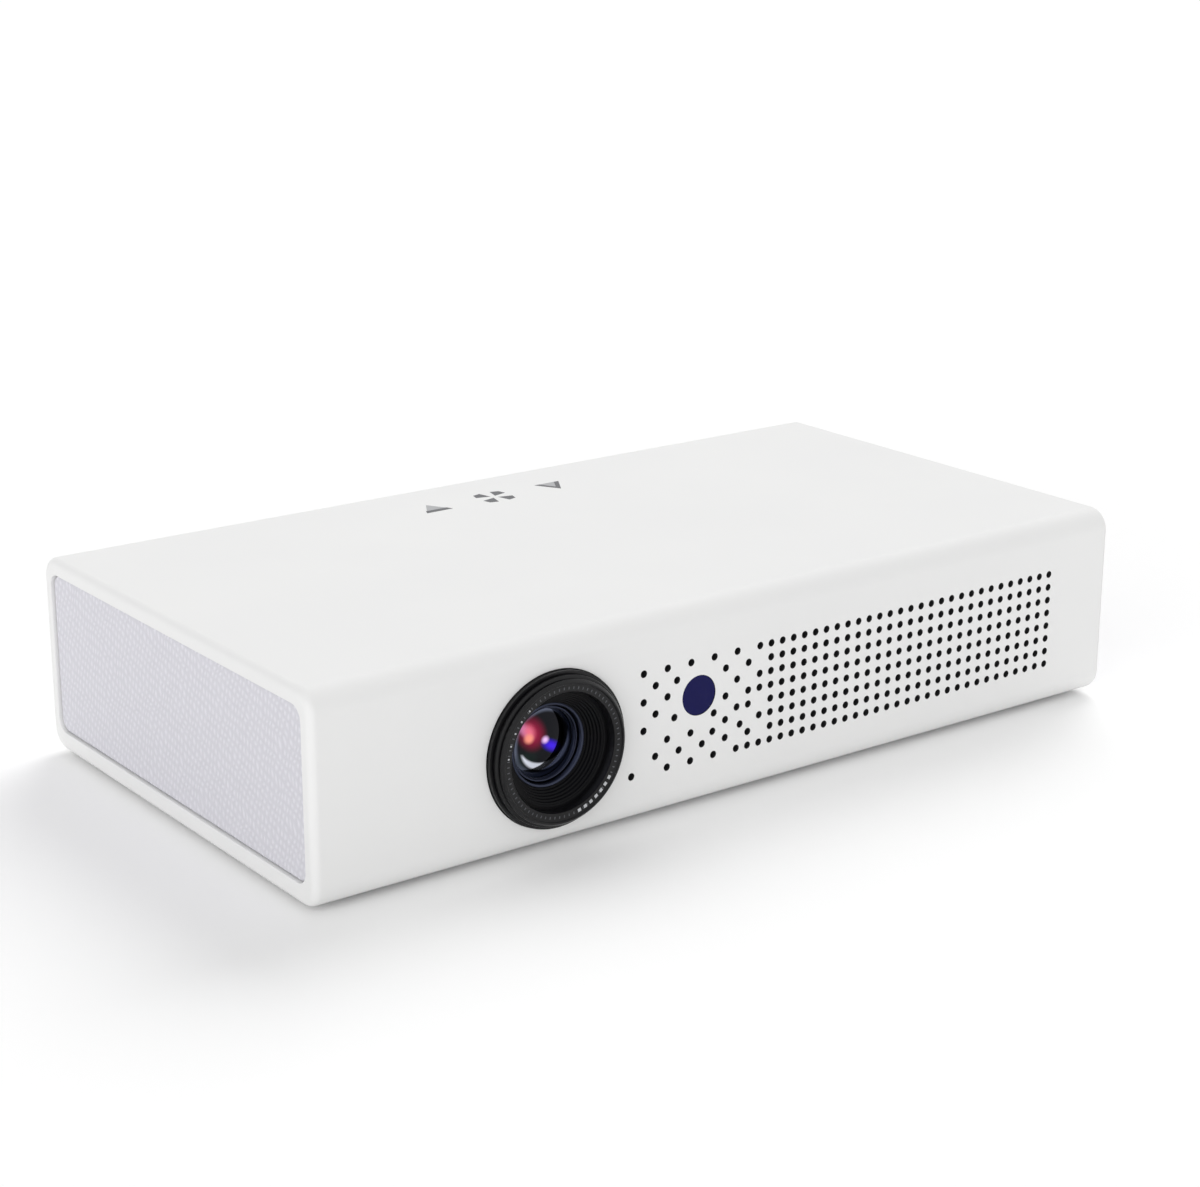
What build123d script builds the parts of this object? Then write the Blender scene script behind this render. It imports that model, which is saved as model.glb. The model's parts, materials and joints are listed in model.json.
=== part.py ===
from build123d import *
import os
from math import cos, degrees, atan2, radians, sin, sqrt

os.makedirs("parts", exist_ok=True)

# A pocket cinema: a lamp-less projector and a slim disc drive in one long, low housing.
# Millimetres. +X runs right along the front, +Y towards the back, +Z up. The origin is under the
# middle of the whole object, on the table.

# ---------------------------------------------------------------- driving sizes: the disc drive
disc_diameter = 120.0
drive_side_margin = 4.0      # from the disc's edge to the drive's side
drive_end_margin = 3.0       # from the disc's edge to the drive's ends
sheet = 0.6                  # steel of the drive's pan and cover
tray_gap = 0.6               # between the tray's underside and the pan
traverse_space = 5.2         # room for motor and sled under the tray's floor
tray_floor = 1.2
disc_space = 4.5             # from the tray's floor to the cover
tray_rim_height = 2.6        # how far the tray's rim stands over its floor
tray_wall = 1.2
disc_play = 0.5              # round the disc in its recess
small_disc_diameter = 80.0
small_recess_depth = 0.4
bezel_thickness = 3.0
bezel_gap = 0.3              # bezel to pan, and round the bezel in the back wall

# ---------------------------------------------------------------- driving sizes: the housing
wall = 2.4
base_wall = 3.0
inner_height = 52.0
engine_bay = 132.0           # from the left end to the drive
speaker_bay = 18.4           # from the drive to the right end
fan_bay = 15.3               # from the front wall to the drive
edge_radius = 6.4            # along the long edges
end_radius = 2.2             # round both ends
foot_height = 1.6
foot_radius = 6.0
foot_inset_x = 23.0
foot_inset_y = 19.0
flats = 12                   # sides of a small round that nothing turns or slides on

grille_rim_side = 4.3
grille_rim_top = 4.6
grille_rim_bottom = 5.8
grille_corner = 4.0
grille_recess = 0.8          # the mesh lies this far inside the end
grille_thickness = 1.6
grille_gap = 0.25
baffle = 2.0                 # end wall behind the mesh

cover_inset_x = 5.0          # from the ends to the bottom cover
cover_inset_y = 7.0          # from the front and back to the bottom cover
cover_corner = 8.0
cover_ledge = 2.5
cover_thickness = 1.6
cover_gap = 0.25
post_radius = 3.2
post_margin = 0.9
screw_head_radius = 2.6
screw_head_height = 1.5
screw_radius = 1.3
head_clearance = 0.3

# ---------------------------------------------------------------- driving sizes: front face
vent_hole_diameter = 2.1
vent_pitch = 4.0
vent_rows = 8
vent_start_from_lens = 72.8  # lens axis to the first column of the regular field
vent_right_margin = 25.0     # last column to the right end
vent_top_row_height = 41.6   # above the housing's underside
# Columns of the scattered holes, counted in pitches from the regular field's first column, by row.
scattered_holes = {
    0: (-11, -9, -7, -5, -3, -1),
    1: (-10, -8.2, -4, -2),
    2: (-11, -9, -3, -1),
    3: (-10, -4, -2, -1),
    3.6: (-8.4,),
    4: (-11, -5, -3, -2),
    4.7: (-4,),
    5: (-9, -7, -1),
    5.3: (-5.1, -2.7),
    6: (-10, -8, -6, -4, -2),
    7: (-12, -9, -7, -5, -3, -2, -1),
}
window_from_lens = 47.5
window_height = 31.8
window_radius = 5.6

# ---------------------------------------------------------------- driving sizes: projection lens
lens_from_left = 72.6
lens_height = 27.2
lens_proud = 4.4             # focus ring in front of the front face
barrel_radius = 21.4
barrel_proud = 1.3
barrel_bore_radius = 18.9
barrel_depth = 22.3          # front face to the light engine
barrel_gap = 0.25            # round the barrel in the front wall
barrel_flange = (46.0, 34.0, 2.5)
ring_gap = 0.3               # between the barrel's rim and the focus ring
ring_root_radius = 20.7
ring_front_radius = 19.3
ring_bore_radius = 16.2
ring_skirt_depth = 14.0      # behind the front face
running_gap = 0.07
sliding_gap = 0.04
focus_turn = 40.0            # degrees each way
focus_travel = 1.6           # each way
focus_pin_radius = 1.0
focus_pin_depth = 9.0        # behind the front face
focus_slot_play = 0.15
cell_front = 1.0             # in front of the front face
cell_depth = 17.6            # behind it
hood_radius = 11.2
hood_depth = 4.0
glass_radius = 9.5
glass_play = 0.05            # glass in the cell's bore
glass_view_radius = 8.9
glass_depth = 7.2            # front face to the front glass's edge
glass_edge = 2.4
glass_crown = 1.4
rear_glass_thickness = 3.0

# ---------------------------------------------------------------- driving sizes: light engine
engine_width = 62.0
engine_depth = 46.0
engine_height = 34.0
imaging_board_size = (54.0, 32.0)
board_thickness = 1.6
spreader_size = (26.0, 22.0, 8.0)
source_plate = 3.0
pipe_width = 6.0
pipe_height = 3.0
fin_count = 13
fin_thickness = 0.8
fin_stack_size = (44.0, 26.0, 25.0)
fan_size = 40.0
fan_thickness = 10.0
fan_tip_gap = 0.6
fan_hub_radius = 9.0
fan_blades = 7
shaft_radius = 1.0

# ---------------------------------------------------------------- driving sizes: electronics
main_board_height = 15.0     # over the housing's inner floor
socket_recess = 0.4          # socket mouths behind the back face
socket_gap = 0.3
hdmi_size = (15.0, 6.0)
usb_size = (14.4, 7.0)
audio_barrel_radius = 3.0
audio_bore_radius = 1.75
audio_depth = 14.0
power_barrel_radius = 4.4
power_bore_radius = 2.9
power_pin_radius = 1.0
power_depth = 9.5
button_radius = 4.0
button_travel = 1.0
key_middle_from_left = 137.6
key_pitch = 22.2
key_from_back = 25.0

# ---------------------------------------------------------------- driving sizes: tripod insert
tripod_bore_radius = 3.2
tripod_insert_radius = 6.0
tripod_insert_length = 8.0
tripod_from_drive = 15.0

# ================================================================ sizes worked out from those above
disc_radius = disc_diameter / 2
drive_width = disc_diameter + 2 * drive_side_margin
drive_depth = disc_diameter + 2 * drive_end_margin
drive_height = 2 * sheet + tray_gap + traverse_space + tray_floor + disc_space

body_width = engine_bay + drive_width + speaker_bay
body_depth = wall + fan_bay + drive_depth + bezel_gap + bezel_thickness
body_height = base_wall + inner_height + wall

left, right = -body_width / 2, body_width / 2
front = -(body_depth - lens_proud) / 2
back = front + body_depth
middle_y = (front + back) / 2
base = foot_height
top = base + body_height
end_wall = grille_recess + grille_thickness + baffle
inner_left, inner_right = left + end_wall, right - end_wall
inner_front, inner_back = front + wall, back - wall
inner_floor, inner_top = base + base_wall, top - wall

drive_left = left + engine_bay
drive_right = drive_left + drive_width
drive_mouth = back - bezel_thickness - bezel_gap
drive_end = drive_mouth - drive_depth
drive_x = (drive_left + drive_right) / 2
drive_floor = inner_floor + 1.4
drive_top = drive_floor + drive_height

lens_x = left + lens_from_left
lens_z = base + lens_height
lens_plane = Plane(origin=(lens_x, 0, lens_z))
lens_axis = Axis((lens_x, 0, lens_z), (0, 1, 0))


# ================================================================ helpers
def across(y):
    """An upright plane at y: sketches read as seen from the front, and extrude forwards."""
    return Plane(origin=(0, y, 0), x_dir=(1, 0, 0), z_dir=(0, -1, 0))


def block(x, y, z, mode=Mode.ADD):
    """A box between low and high bounds on each axis."""
    with Locations(((x[0] + x[1]) / 2, (y[0] + y[1]) / 2, (z[0] + z[1]) / 2)):
        Box(x[1] - x[0], y[1] - y[0], z[1] - z[0], mode=mode)


def post(places, low, high, radius, sides=6, mode=Mode.ADD):
    """Upright prisms at each (x, y): moulded posts, or the holes down them."""
    with BuildSketch(Plane.XY.offset(low)) as outline:
        with Locations(*places):
            RegularPolygon(radius, sides)
    extrude(outline.sketch, amount=high - low, mode=mode)


def drum(x, z, y, radius, mode=Mode.ADD):
    """A round along Y between two y values."""
    with BuildSketch(across(y[0])) as outline:
        with Locations((x, z)):
            Circle(radius)
    extrude(outline.sketch, amount=y[0] - y[1], mode=mode)


def turned(points):
    """A ring: an outline of (radius, y) points spun round the lens's axis."""
    with BuildSketch(lens_plane) as outline:
        with BuildLine():
            Polyline(*points, close=True)
        make_face()
    revolve(outline.sketch, axis=lens_axis)


def save(piece, name):
    piece.part.label = name
    export_step(piece.part, f"parts/{name}.step")


# ================================================================ upper housing
grille_width = body_depth - 2 * grille_rim_side
grille_height = body_height - grille_rim_top - grille_rim_bottom
grille_z = base + grille_rim_bottom + grille_height / 2
cover_width = body_width - 2 * cover_inset_x
cover_depth = body_depth - 2 * cover_inset_y
opening_width = cover_width - 2 * cover_ledge
opening_depth = cover_depth - 2 * cover_ledge

vent_x = lens_x + vent_start_from_lens
vent_z = base + vent_top_row_height
vent_columns = int((right - vent_right_margin - vent_x) / vent_pitch + 1.001)
window_x = lens_x + window_from_lens
window_z = base + window_height
bore_radius = barrel_radius + barrel_gap

post_x = (drive_right + inner_right) / 2
post_y = opening_depth / 2 - post_radius - post_margin
middle_post_x = drive_left - post_radius - post_margin - 2.6
cover_posts = [
    (x, middle_y + y) for x in (-post_x, middle_post_x, post_x) for y in (-post_y, post_y)
]

engine_y = front + barrel_depth
engine_z = (lens_z - engine_height / 2, lens_z + engine_height / 2)
engine_ear_x = engine_width / 2 - 6
engine_posts = [
    (lens_x + x, engine_y + y) for x in (-engine_ear_x, engine_ear_x) for y in (6, engine_depth - 6)
]

fan_x = vent_x + 28
fan_z = vent_z - vent_pitch * (vent_rows - 1) / 2
fan_y = (inner_front, inner_front + fan_thickness)
rib_gap = 0.2
rib = 1.5

fin_x = (fan_x - fin_stack_size[0] / 2, fan_x + fin_stack_size[0] / 2)
fin_y = (fan_y[1] + 2.4, fan_y[1] + 2.4 + fin_stack_size[1])
fin_z = (drive_top + 3.5, drive_top + 3.5 + fin_stack_size[2])
fin_posts = [(x, fin_y[1] - 5) for x in (fin_x[0] + 5, fin_x[1] - 5)]

power_board_x = (drive_right - 56, drive_right - 4)
power_board_y = (fin_y[1] + 2, fin_y[1] + 82)
power_board_z = inner_top - 12.6
power_board_posts = [
    (x, y)
    for x in (power_board_x[0] + 5, power_board_x[1] - 5)
    for y in (power_board_y[0] + 5, power_board_y[1] - 5)
]

board_z = inner_floor + main_board_height
board_top = board_z + board_thickness
socket_mouth = back - socket_recess
hdmi_x = inner_left + 55.0
usb_places = (inner_left + 76.0, inner_left + 94.5)
audio_x = inner_left + 109.0
audio_z = board_top + audio_barrel_radius + 0.4
power_x = inner_left + 36.0
power_z = board_top + power_barrel_radius + 0.8
button_x = inner_left + 20.0
button_z = power_z

speaker_z = (inner_floor + inner_top) / 2
sound_size = (44.0, 26.0)

exhaust_size = (2.4, 14.0)
exhaust_pitch = 7.0
exhaust_count = int((drive_width - 24) / exhaust_pitch)
exhaust_z = (drive_top + inner_top) / 2 + 3

with BuildPart() as upper_housing:
    with BuildSketch(Plane.YZ.offset(left)):
        with Locations((middle_y, (base + top) / 2)):
            RectangleRounded(body_depth, body_height, edge_radius)
    extrude(amount=body_width)
    fillet(upper_housing.faces().filter_by(Axis.X).edges(), end_radius)

    # Room inside.
    with BuildSketch(Plane.YZ.offset(inner_left)):
        with Locations((middle_y, (inner_floor + inner_top) / 2)):
            RectangleRounded(body_depth - 2 * wall, inner_height, edge_radius - wall)
    extrude(amount=inner_right - inner_left, mode=Mode.SUBTRACT)

    # A mesh seat and a sound opening in each end.
    for x, inward in ((left, 1), (right, -1)):
        with BuildSketch(Plane.YZ.offset(x)):
            with Locations((middle_y, grille_z)):
                RectangleRounded(grille_width, grille_height, grille_corner)
        extrude(amount=inward * (grille_recess + grille_thickness), mode=Mode.SUBTRACT)
        with BuildSketch(Plane.YZ.offset(x)):
            with Locations((middle_y, speaker_z)):
                Rectangle(*sound_size)
        extrude(amount=inward * end_wall, mode=Mode.SUBTRACT)

    # The underside is open, with a seat for the bottom cover.
    with BuildSketch(Plane.XY.offset(base)):
        with Locations((0, middle_y)):
            RectangleRounded(cover_width, cover_depth, cover_corner)
    extrude(amount=cover_thickness, mode=Mode.SUBTRACT)
    with BuildSketch(Plane.XY.offset(base)):
        with Locations((0, middle_y)):
            RectangleRounded(opening_width, opening_depth, cover_corner - cover_ledge)
    extrude(amount=base_wall, mode=Mode.SUBTRACT)

    # Posts for the cover, the light engine, the fin stack and the power board.
    post(cover_posts, inner_floor, inner_top, post_radius)
    post(engine_posts, engine_z[1], inner_top, post_radius)
    post(fin_posts, fin_z[1], inner_top, post_radius)
    post(power_board_posts, power_board_z + board_thickness, inner_top, post_radius)
    post(cover_posts, inner_floor, inner_floor + 9, screw_radius + 0.05, mode=Mode.SUBTRACT)

    # Ribs that hold the fan against the front wall.
    for side in (-1, 1):
        near = fan_z + side * (fan_size / 2 + rib_gap)
        far = near + side * rib
        block(
            (fan_x - 14, fan_x + 14),
            (inner_front, inner_front + fan_thickness - 2),
            (min(near, far), max(near, far)),
        )

    # Lens, sensor window and vent holes. The holes are drilled round; six flats keep them light.
    drum(lens_x, lens_z, (front, inner_front + 2), bore_radius, Mode.SUBTRACT)
    with BuildSketch(across(front)):
        with Locations((window_x, window_z)):
            Circle(window_radius + 0.1)
        field_x = vent_x + vent_pitch * (vent_columns - 1) / 2
        with Locations((field_x, fan_z)):
            with GridLocations(vent_pitch, vent_pitch, vent_columns, vent_rows):
                RegularPolygon(vent_hole_diameter * 0.55, 6)
        scatter = [
            (vent_x + vent_pitch * column, vent_z - vent_pitch * row)
            for row, columns in scattered_holes.items()
            for column in columns
        ]
        with Locations(*scatter):
            RegularPolygon(vent_hole_diameter * 0.55, 6)
    extrude(amount=-wall, mode=Mode.SUBTRACT)

    # Tray slot, sockets, power button and exhaust slots in the back wall.
    block(
        (drive_left - bezel_gap, drive_right + bezel_gap),
        (drive_mouth - 1, back),
        (drive_floor - bezel_gap, drive_top + bezel_gap),
        Mode.SUBTRACT,
    )
    with BuildSketch(across(inner_back)):
        with Locations((hdmi_x, board_top + hdmi_size[1] / 2)):
            Rectangle(hdmi_size[0] + 2 * socket_gap, hdmi_size[1] + 2 * socket_gap)
        with Locations(*[(x, board_top + usb_size[1] / 2) for x in usb_places]):
            Rectangle(usb_size[0] + 2 * socket_gap, usb_size[1] + 2 * socket_gap)
        with Locations((audio_x, audio_z)):
            Circle(audio_barrel_radius + socket_gap)
        with Locations((power_x, power_z)):
            Circle(power_barrel_radius + socket_gap)
        with Locations((button_x, button_z)):
            Circle(button_radius + socket_gap)
        with Locations((drive_x, exhaust_z)):
            with GridLocations(exhaust_pitch, 1, exhaust_count, 1):
                Rectangle(*exhaust_size)
    extrude(amount=-wall, mode=Mode.SUBTRACT)
save(upper_housing, "upper_housing")

# ================================================================ bottom cover and what it carries
cover_top = base + cover_thickness
pad_inset = 20.0
drive_middle_y = (drive_end + drive_mouth) / 2
drive_pads = [
    (drive_x + x * (drive_width / 2 - pad_inset), drive_middle_y + y * (drive_depth / 2 - pad_inset))
    for x in (-1, 1)
    for y in (-1, 1)
]
board_x = (inner_left + 12, middle_post_x - post_radius - 1)
board_y = (engine_y + engine_depth + 14, inner_back - 1.5)
board_posts = [
    (x, y) for x in (board_x[0] + 5, board_x[1] - 5) for y in (board_y[0] + 5, board_y[1] - 20)
]
tripod_place = (drive_left - tripod_from_drive, middle_y)
head_seat = screw_head_height + 0.4
intake_size = (2.4, 22.0)
intake_pitch = 6.0
intake_count = 8

with BuildPart() as bottom_cover:
    with BuildSketch(Plane.XY.offset(base)):
        with Locations((0, middle_y)):
            RectangleRounded(
                cover_width - 2 * cover_gap, cover_depth - 2 * cover_gap, cover_corner - cover_gap
            )
    extrude(amount=cover_thickness)
    # A stiffening rib that drops into the housing's opening.
    with BuildSketch(Plane.XY.offset(cover_top)):
        with Locations((0, middle_y)):
            RectangleRounded(opening_width - 1, opening_depth - 1, cover_corner - cover_ledge - 0.5)
            RectangleRounded(opening_width - 4, opening_depth - 4, 3.5, mode=Mode.SUBTRACT)
        with Locations(*cover_posts):
            RegularPolygon(post_radius, 6)
    extrude(amount=inner_floor - cover_top)
    post(drive_pads, cover_top, drive_floor, 5.0)
    post(board_posts, cover_top, board_z, post_radius)
    post([tripod_place], cover_top, base + tripod_insert_length + 1, tripod_insert_radius + 2.4)
    # Screw holes, counterbored from below.
    for places, end in ((cover_posts, inner_floor), (drive_pads, drive_floor)):
        post(places, base, base + head_seat, screw_head_radius + head_clearance, mode=Mode.SUBTRACT)
        post(places, base, end, screw_radius + head_clearance, mode=Mode.SUBTRACT)
    post([tripod_place], base, base + tripod_insert_length, tripod_insert_radius, mode=Mode.SUBTRACT)
    # Air intake under the light engine.
    with BuildSketch(Plane.XY.offset(base)):
        with Locations((lens_x, engine_y + engine_depth / 2)):
            with GridLocations(intake_pitch, 1, intake_count, 1):
                Rectangle(*intake_size)
    extrude(amount=cover_thickness, mode=Mode.SUBTRACT)
save(bottom_cover, "bottom_cover")

with BuildPart() as rubber_feet:
    with BuildSketch():
        with Locations((0, middle_y)):
            with GridLocations(body_width - 2 * foot_inset_x, body_depth - 2 * foot_inset_y, 2, 2):
                RegularPolygon(foot_radius, 2 * flats)
    extrude(amount=foot_height)
save(rubber_feet, "rubber_feet")


def screws(places, head_low, tip):
    """Screws driven upwards from below, drawn with flats."""
    post(places, head_low, head_low + screw_head_height, screw_head_radius)
    post(places, head_low + screw_head_height, tip, screw_radius)


with BuildPart() as cover_screws:
    screws(cover_posts, base + 0.4, inner_floor + 8)
save(cover_screws, "cover_screws")

with BuildPart() as drive_screws:
    screws(drive_pads, base + 0.4, drive_floor)
save(drive_screws, "drive_screws")

with BuildPart() as tripod_insert:
    with BuildSketch(Plane.XY.offset(base)):
        with Locations(tripod_place):
            RegularPolygon(tripod_insert_radius, 6)
            Circle(tripod_bore_radius, mode=Mode.SUBTRACT)
    extrude(amount=tripod_insert_length)
save(tripod_insert, "tripod_insert")

# ================================================================ speakers and their meshes
box_depth = 10.5
box_size = (70.0, 40.0)
cone_depth = 3.0

for side, x, inward in (("left", left, 1), ("right", right, -1)):
    with BuildPart() as speaker_grille:
        with BuildSketch(Plane.YZ.offset(x + inward * grille_recess)):
            with Locations((middle_y, grille_z)):
                RectangleRounded(
                    grille_width - 2 * grille_gap,
                    grille_height - 2 * grille_gap,
                    grille_corner - grille_gap,
                )
        extrude(amount=inward * grille_thickness)
    save(speaker_grille, f"speaker_grille_{side}")

    face = x + inward * end_wall
    with BuildPart() as speaker_box:
        with BuildSketch(Plane.YZ.offset(face)):
            with Locations((middle_y, speaker_z)):
                Rectangle(*box_size)
        extrude(amount=inward * box_depth)
        with BuildSketch(Plane.YZ.offset(face)):
            with Locations((middle_y, speaker_z)):
                cone_edge = Rectangle(sound_size[0] - 4, sound_size[1] - 4)
            chamfer(cone_edge.vertices(), 7)
        extrude(amount=inward * cone_depth, mode=Mode.SUBTRACT)
    save(speaker_box, f"speaker_box_{side}")

    with BuildPart() as speaker_cone:
        with BuildSketch(Plane.YZ.offset(face + inward * cone_depth)):
            with Locations((middle_y, speaker_z)):
                surround = Rectangle(sound_size[0] - 4.6, sound_size[1] - 4.6)
            chamfer(surround.vertices(), 7)
        extrude(amount=-inward * 1.0)
        with BuildSketch(Plane.YZ.offset(face + inward * (cone_depth - 1.0))):
            with Locations((middle_y, speaker_z)):
                crown = Rectangle(sound_size[0] - 14, sound_size[1] - 14)
            chamfer(crown.vertices(), 4)
        extrude(amount=-inward * 1.2, taper=25)
    save(speaker_cone, f"speaker_cone_{side}")

# ================================================================ sensor window, sensor and touch keys
with BuildPart() as sensor_window:
    drum(window_x, window_z, (front + 0.2, inner_front), window_radius)
save(sensor_window, "sensor_window")

sensor_y = inner_front + 4
with BuildPart() as sensor_board:
    block((window_x - 3.5, window_x + 3.5), (inner_front, sensor_y), (window_z - 4, window_z + 4))
    block(
        (window_x - 8, window_x + 8),
        (sensor_y, sensor_y + board_thickness),
        (window_z - 7, window_z + 7),
    )
save(sensor_board, "sensor_board")

key_x = left + key_middle_from_left
key_y = back - key_from_back
with BuildPart() as touch_key_board:
    block(
        (key_x - 1.5 * key_pitch, key_x + 1.5 * key_pitch),
        (key_y - 8, key_y + 8),
        (inner_top - 1, inner_top),
    )
save(touch_key_board, "touch_key_board")

# ================================================================ projection lens
pin_y = front + focus_pin_depth
slot_half = focus_pin_radius + focus_slot_play
pin_sides = (0, 180)


def across_lens(turn, reach):
    """A plane that faces outwards from the lens's axis at the pins, reach away from it."""
    return Plane(origin=(lens_x, pin_y, lens_z)).rotated((0, turn, 0)).offset(reach)


# The fixed barrel carries straight slots, which keep the lens cell from turning.
with BuildPart() as lens_barrel:
    turned([
        (barrel_bore_radius, front - barrel_proud),
        (barrel_radius, front - barrel_proud),
        (barrel_radius, engine_y),
        (barrel_bore_radius, engine_y),
    ])
    with BuildSketch(across(engine_y)):
        with Locations((lens_x, lens_z)):
            Rectangle(barrel_flange[0], barrel_flange[1])
            Circle(barrel_radius - 1, mode=Mode.SUBTRACT)
    extrude(amount=barrel_flange[2])
    for turn in pin_sides:
        with BuildSketch(across_lens(turn, barrel_bore_radius - 1)):
            Rectangle(2 * slot_half, 2 * (focus_travel + slot_half + 0.3))
        extrude(amount=barrel_radius, mode=Mode.SUBTRACT)
save(lens_barrel, "lens_barrel")

# The focus ring turns inside the barrel, and its slanting slots drive the lens cell's pins.
ring_front = front - lens_proud
ring_back = front - barrel_proud - ring_gap
ring_step = (ring_front + ring_back) / 2
ring_skirt_radius = barrel_bore_radius - running_gap
with BuildPart() as focus_ring:
    turned([
        (ring_bore_radius, ring_front),
        (ring_front_radius, ring_front),
        (ring_front_radius, ring_step),
        (ring_root_radius, ring_step),
        (ring_root_radius, ring_back),
        (ring_skirt_radius, ring_back),
        (ring_skirt_radius, front + ring_skirt_depth),
        (ring_bore_radius, front + ring_skirt_depth),
    ])
    cam_reach = (ring_bore_radius + ring_skirt_radius) / 2 * sin(radians(focus_turn))
    cam_angle = degrees(atan2(focus_travel, cam_reach))
    cam_end = ring_skirt_radius * sin(radians(focus_turn)) + slot_half + 0.4
    for turn in pin_sides:
        with BuildSketch(across_lens(turn, ring_bore_radius / 2)):
            Rectangle(2 * cam_end / cos(radians(cam_angle)), 2 * slot_half, rotation=-cam_angle)
        extrude(amount=ring_skirt_radius, mode=Mode.SUBTRACT)
save(focus_ring, "focus_ring")

# The lens cell: a hood that narrows to the front glass, and one bore for both glasses.
cell_radius = ring_bore_radius - sliding_gap
glass_front = front + glass_depth
cell_back = front + cell_depth
with BuildPart() as lens_cell:
    turned([
        (cell_radius - 0.8, front - cell_front),
        (cell_radius, front - cell_front),
        (cell_radius, cell_back),
        (glass_radius + glass_play, cell_back),
        (glass_radius + glass_play, glass_front),
        (glass_view_radius, glass_front),
        (hood_radius, front + hood_depth),
    ])
    for turn in pin_sides:
        with BuildSketch(across_lens(turn, cell_radius - 1)):
            RegularPolygon(focus_pin_radius, flats)
        extrude(amount=barrel_radius - 0.6 - cell_radius + 1)
save(lens_cell, "lens_cell")

# The front glass's crown in three bands, each on the curve.
glass_back = glass_front + glass_edge
crown = [
    (glass_view_radius * part, glass_front - glass_crown * (1 - part**2)) for part in (0.3, 0.65, 1)
]
with BuildPart() as front_glass:
    turned([
        (0, crown[0][1]),
        *crown,
        (glass_radius, glass_front),
        (glass_radius, glass_back),
        (0, glass_back),
    ])
save(front_glass, "front_glass")

with BuildPart() as rear_glass:
    drum(lens_x, lens_z, (cell_back - rear_glass_thickness, cell_back), glass_radius)
save(rear_glass, "rear_glass")

# ================================================================ light engine and its cooling
engine_x = (lens_x - engine_width / 2, lens_x + engine_width / 2)
engine_back = engine_y + engine_depth
with BuildPart() as engine_housing:
    block(
        (engine_x[0] + 8, engine_x[1]),
        (engine_y, engine_back - 8),
        (engine_z[0], engine_z[1] - 4),
    )
    block((engine_x[0], engine_x[1] - 14), (engine_back - 30, engine_back), (engine_z[0] + 3, engine_z[1] - 4))
    post(engine_posts, engine_z[1] - 12, engine_z[1], post_radius + 1.4)
    # Light path from the imaging chip to the lens.
    drum(lens_x, lens_z, (engine_y, engine_y + 6), glass_radius + 1, Mode.SUBTRACT)
save(engine_housing, "engine_housing")

with BuildPart() as imaging_board:
    block(
        (lens_x - imaging_board_size[0] / 2, lens_x + imaging_board_size[0] / 2 - 8),
        (engine_back, engine_back + board_thickness),
        (lens_z - imaging_board_size[1] / 2, lens_z + imaging_board_size[1] / 2 - 2),
    )
save(imaging_board, "imaging_board")

spreader_y = engine_back + board_thickness
with BuildPart() as chip_heat_sink:
    block(
        (lens_x - spreader_size[0] / 2 - 4, lens_x + spreader_size[0] / 2 - 4),
        (spreader_y, spreader_y + 2),
        (lens_z - spreader_size[1] / 2, lens_z + spreader_size[1] / 2),
    )
    with Locations((lens_x - 4, spreader_y + spreader_size[2] / 2, lens_z)):
        with GridLocations(spreader_size[0] / 5.2, 1, 5, 1):
            Box(1.2, spreader_size[2], spreader_size[1])
save(chip_heat_sink, "chip_heat_sink")

pipe_z = (fin_z[1], fin_z[1] + pipe_height)
source_x = engine_x[1]
source_places = (engine_y + 9, engine_y + 24)
with BuildPart() as light_source_plates:
    for y in source_places:
        block(
            (source_x, source_x + source_plate),
            (y - 6.5, y + 6.5),
            (lens_z - 10, pipe_z[1]),
        )
save(light_source_plates, "light_source_plates")

with BuildPart() as heat_pipes:
    for start, end in zip(source_places, (fin_y[0] + 5, fin_y[0] + 14)):
        turn_x = (source_x + fin_x[0]) / 2
        with BuildSketch(Plane.XY.offset(pipe_z[0])):
            with BuildLine():
                FilletPolyline(
                    (source_x + source_plate, start),
                    (turn_x - 10, start),
                    (turn_x + 10, end),
                    (fin_x[1] - 2, end),
                    radius=12,
                )
            trace(line_width=pipe_width)
        extrude(amount=pipe_height)
save(heat_pipes, "heat_pipes")

with BuildPart() as fin_stack:
    block(fin_x, fin_y, (fin_z[1] - 2, fin_z[1]))
    fin_pitch = (fin_stack_size[0] - fin_thickness) / (fin_count - 1)
    with Locations((fan_x, (fin_y[0] + fin_y[1]) / 2, (fin_z[0] + fin_z[1]) / 2)):
        with GridLocations(fin_pitch, 1, fin_count, 1):
            Box(fin_thickness, fin_stack_size[1], fin_stack_size[2])
save(fin_stack, "fin_stack")

fan_bore_radius = fan_size / 2 - 1.4
motor_plate = 2.0
with BuildPart() as fan_frame:
    half = fan_size / 2
    block((fan_x - half, fan_x + half), fan_y, (fan_z - half, fan_z + half))
    drum(fan_x, fan_z, fan_y, fan_bore_radius, Mode.SUBTRACT)
    with BuildSketch(across(fan_y[1] - motor_plate)):
        with Locations((fan_x, fan_z)):
            RegularPolygon(fan_hub_radius + 0.5, flats)
            with PolarLocations(fan_bore_radius / 2 + 4, 3, 90):
                Rectangle(fan_bore_radius - 6, 2)
    extrude(amount=-motor_plate)
    with BuildSketch(across(fan_y[0])):
        with Locations((fan_x, fan_z)):
            with GridLocations(fan_size - 8, fan_size - 8, 2, 2):
                RegularPolygon(1.7, 6)
    extrude(amount=-fan_thickness, mode=Mode.SUBTRACT)
save(fan_frame, "fan_frame")

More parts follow.
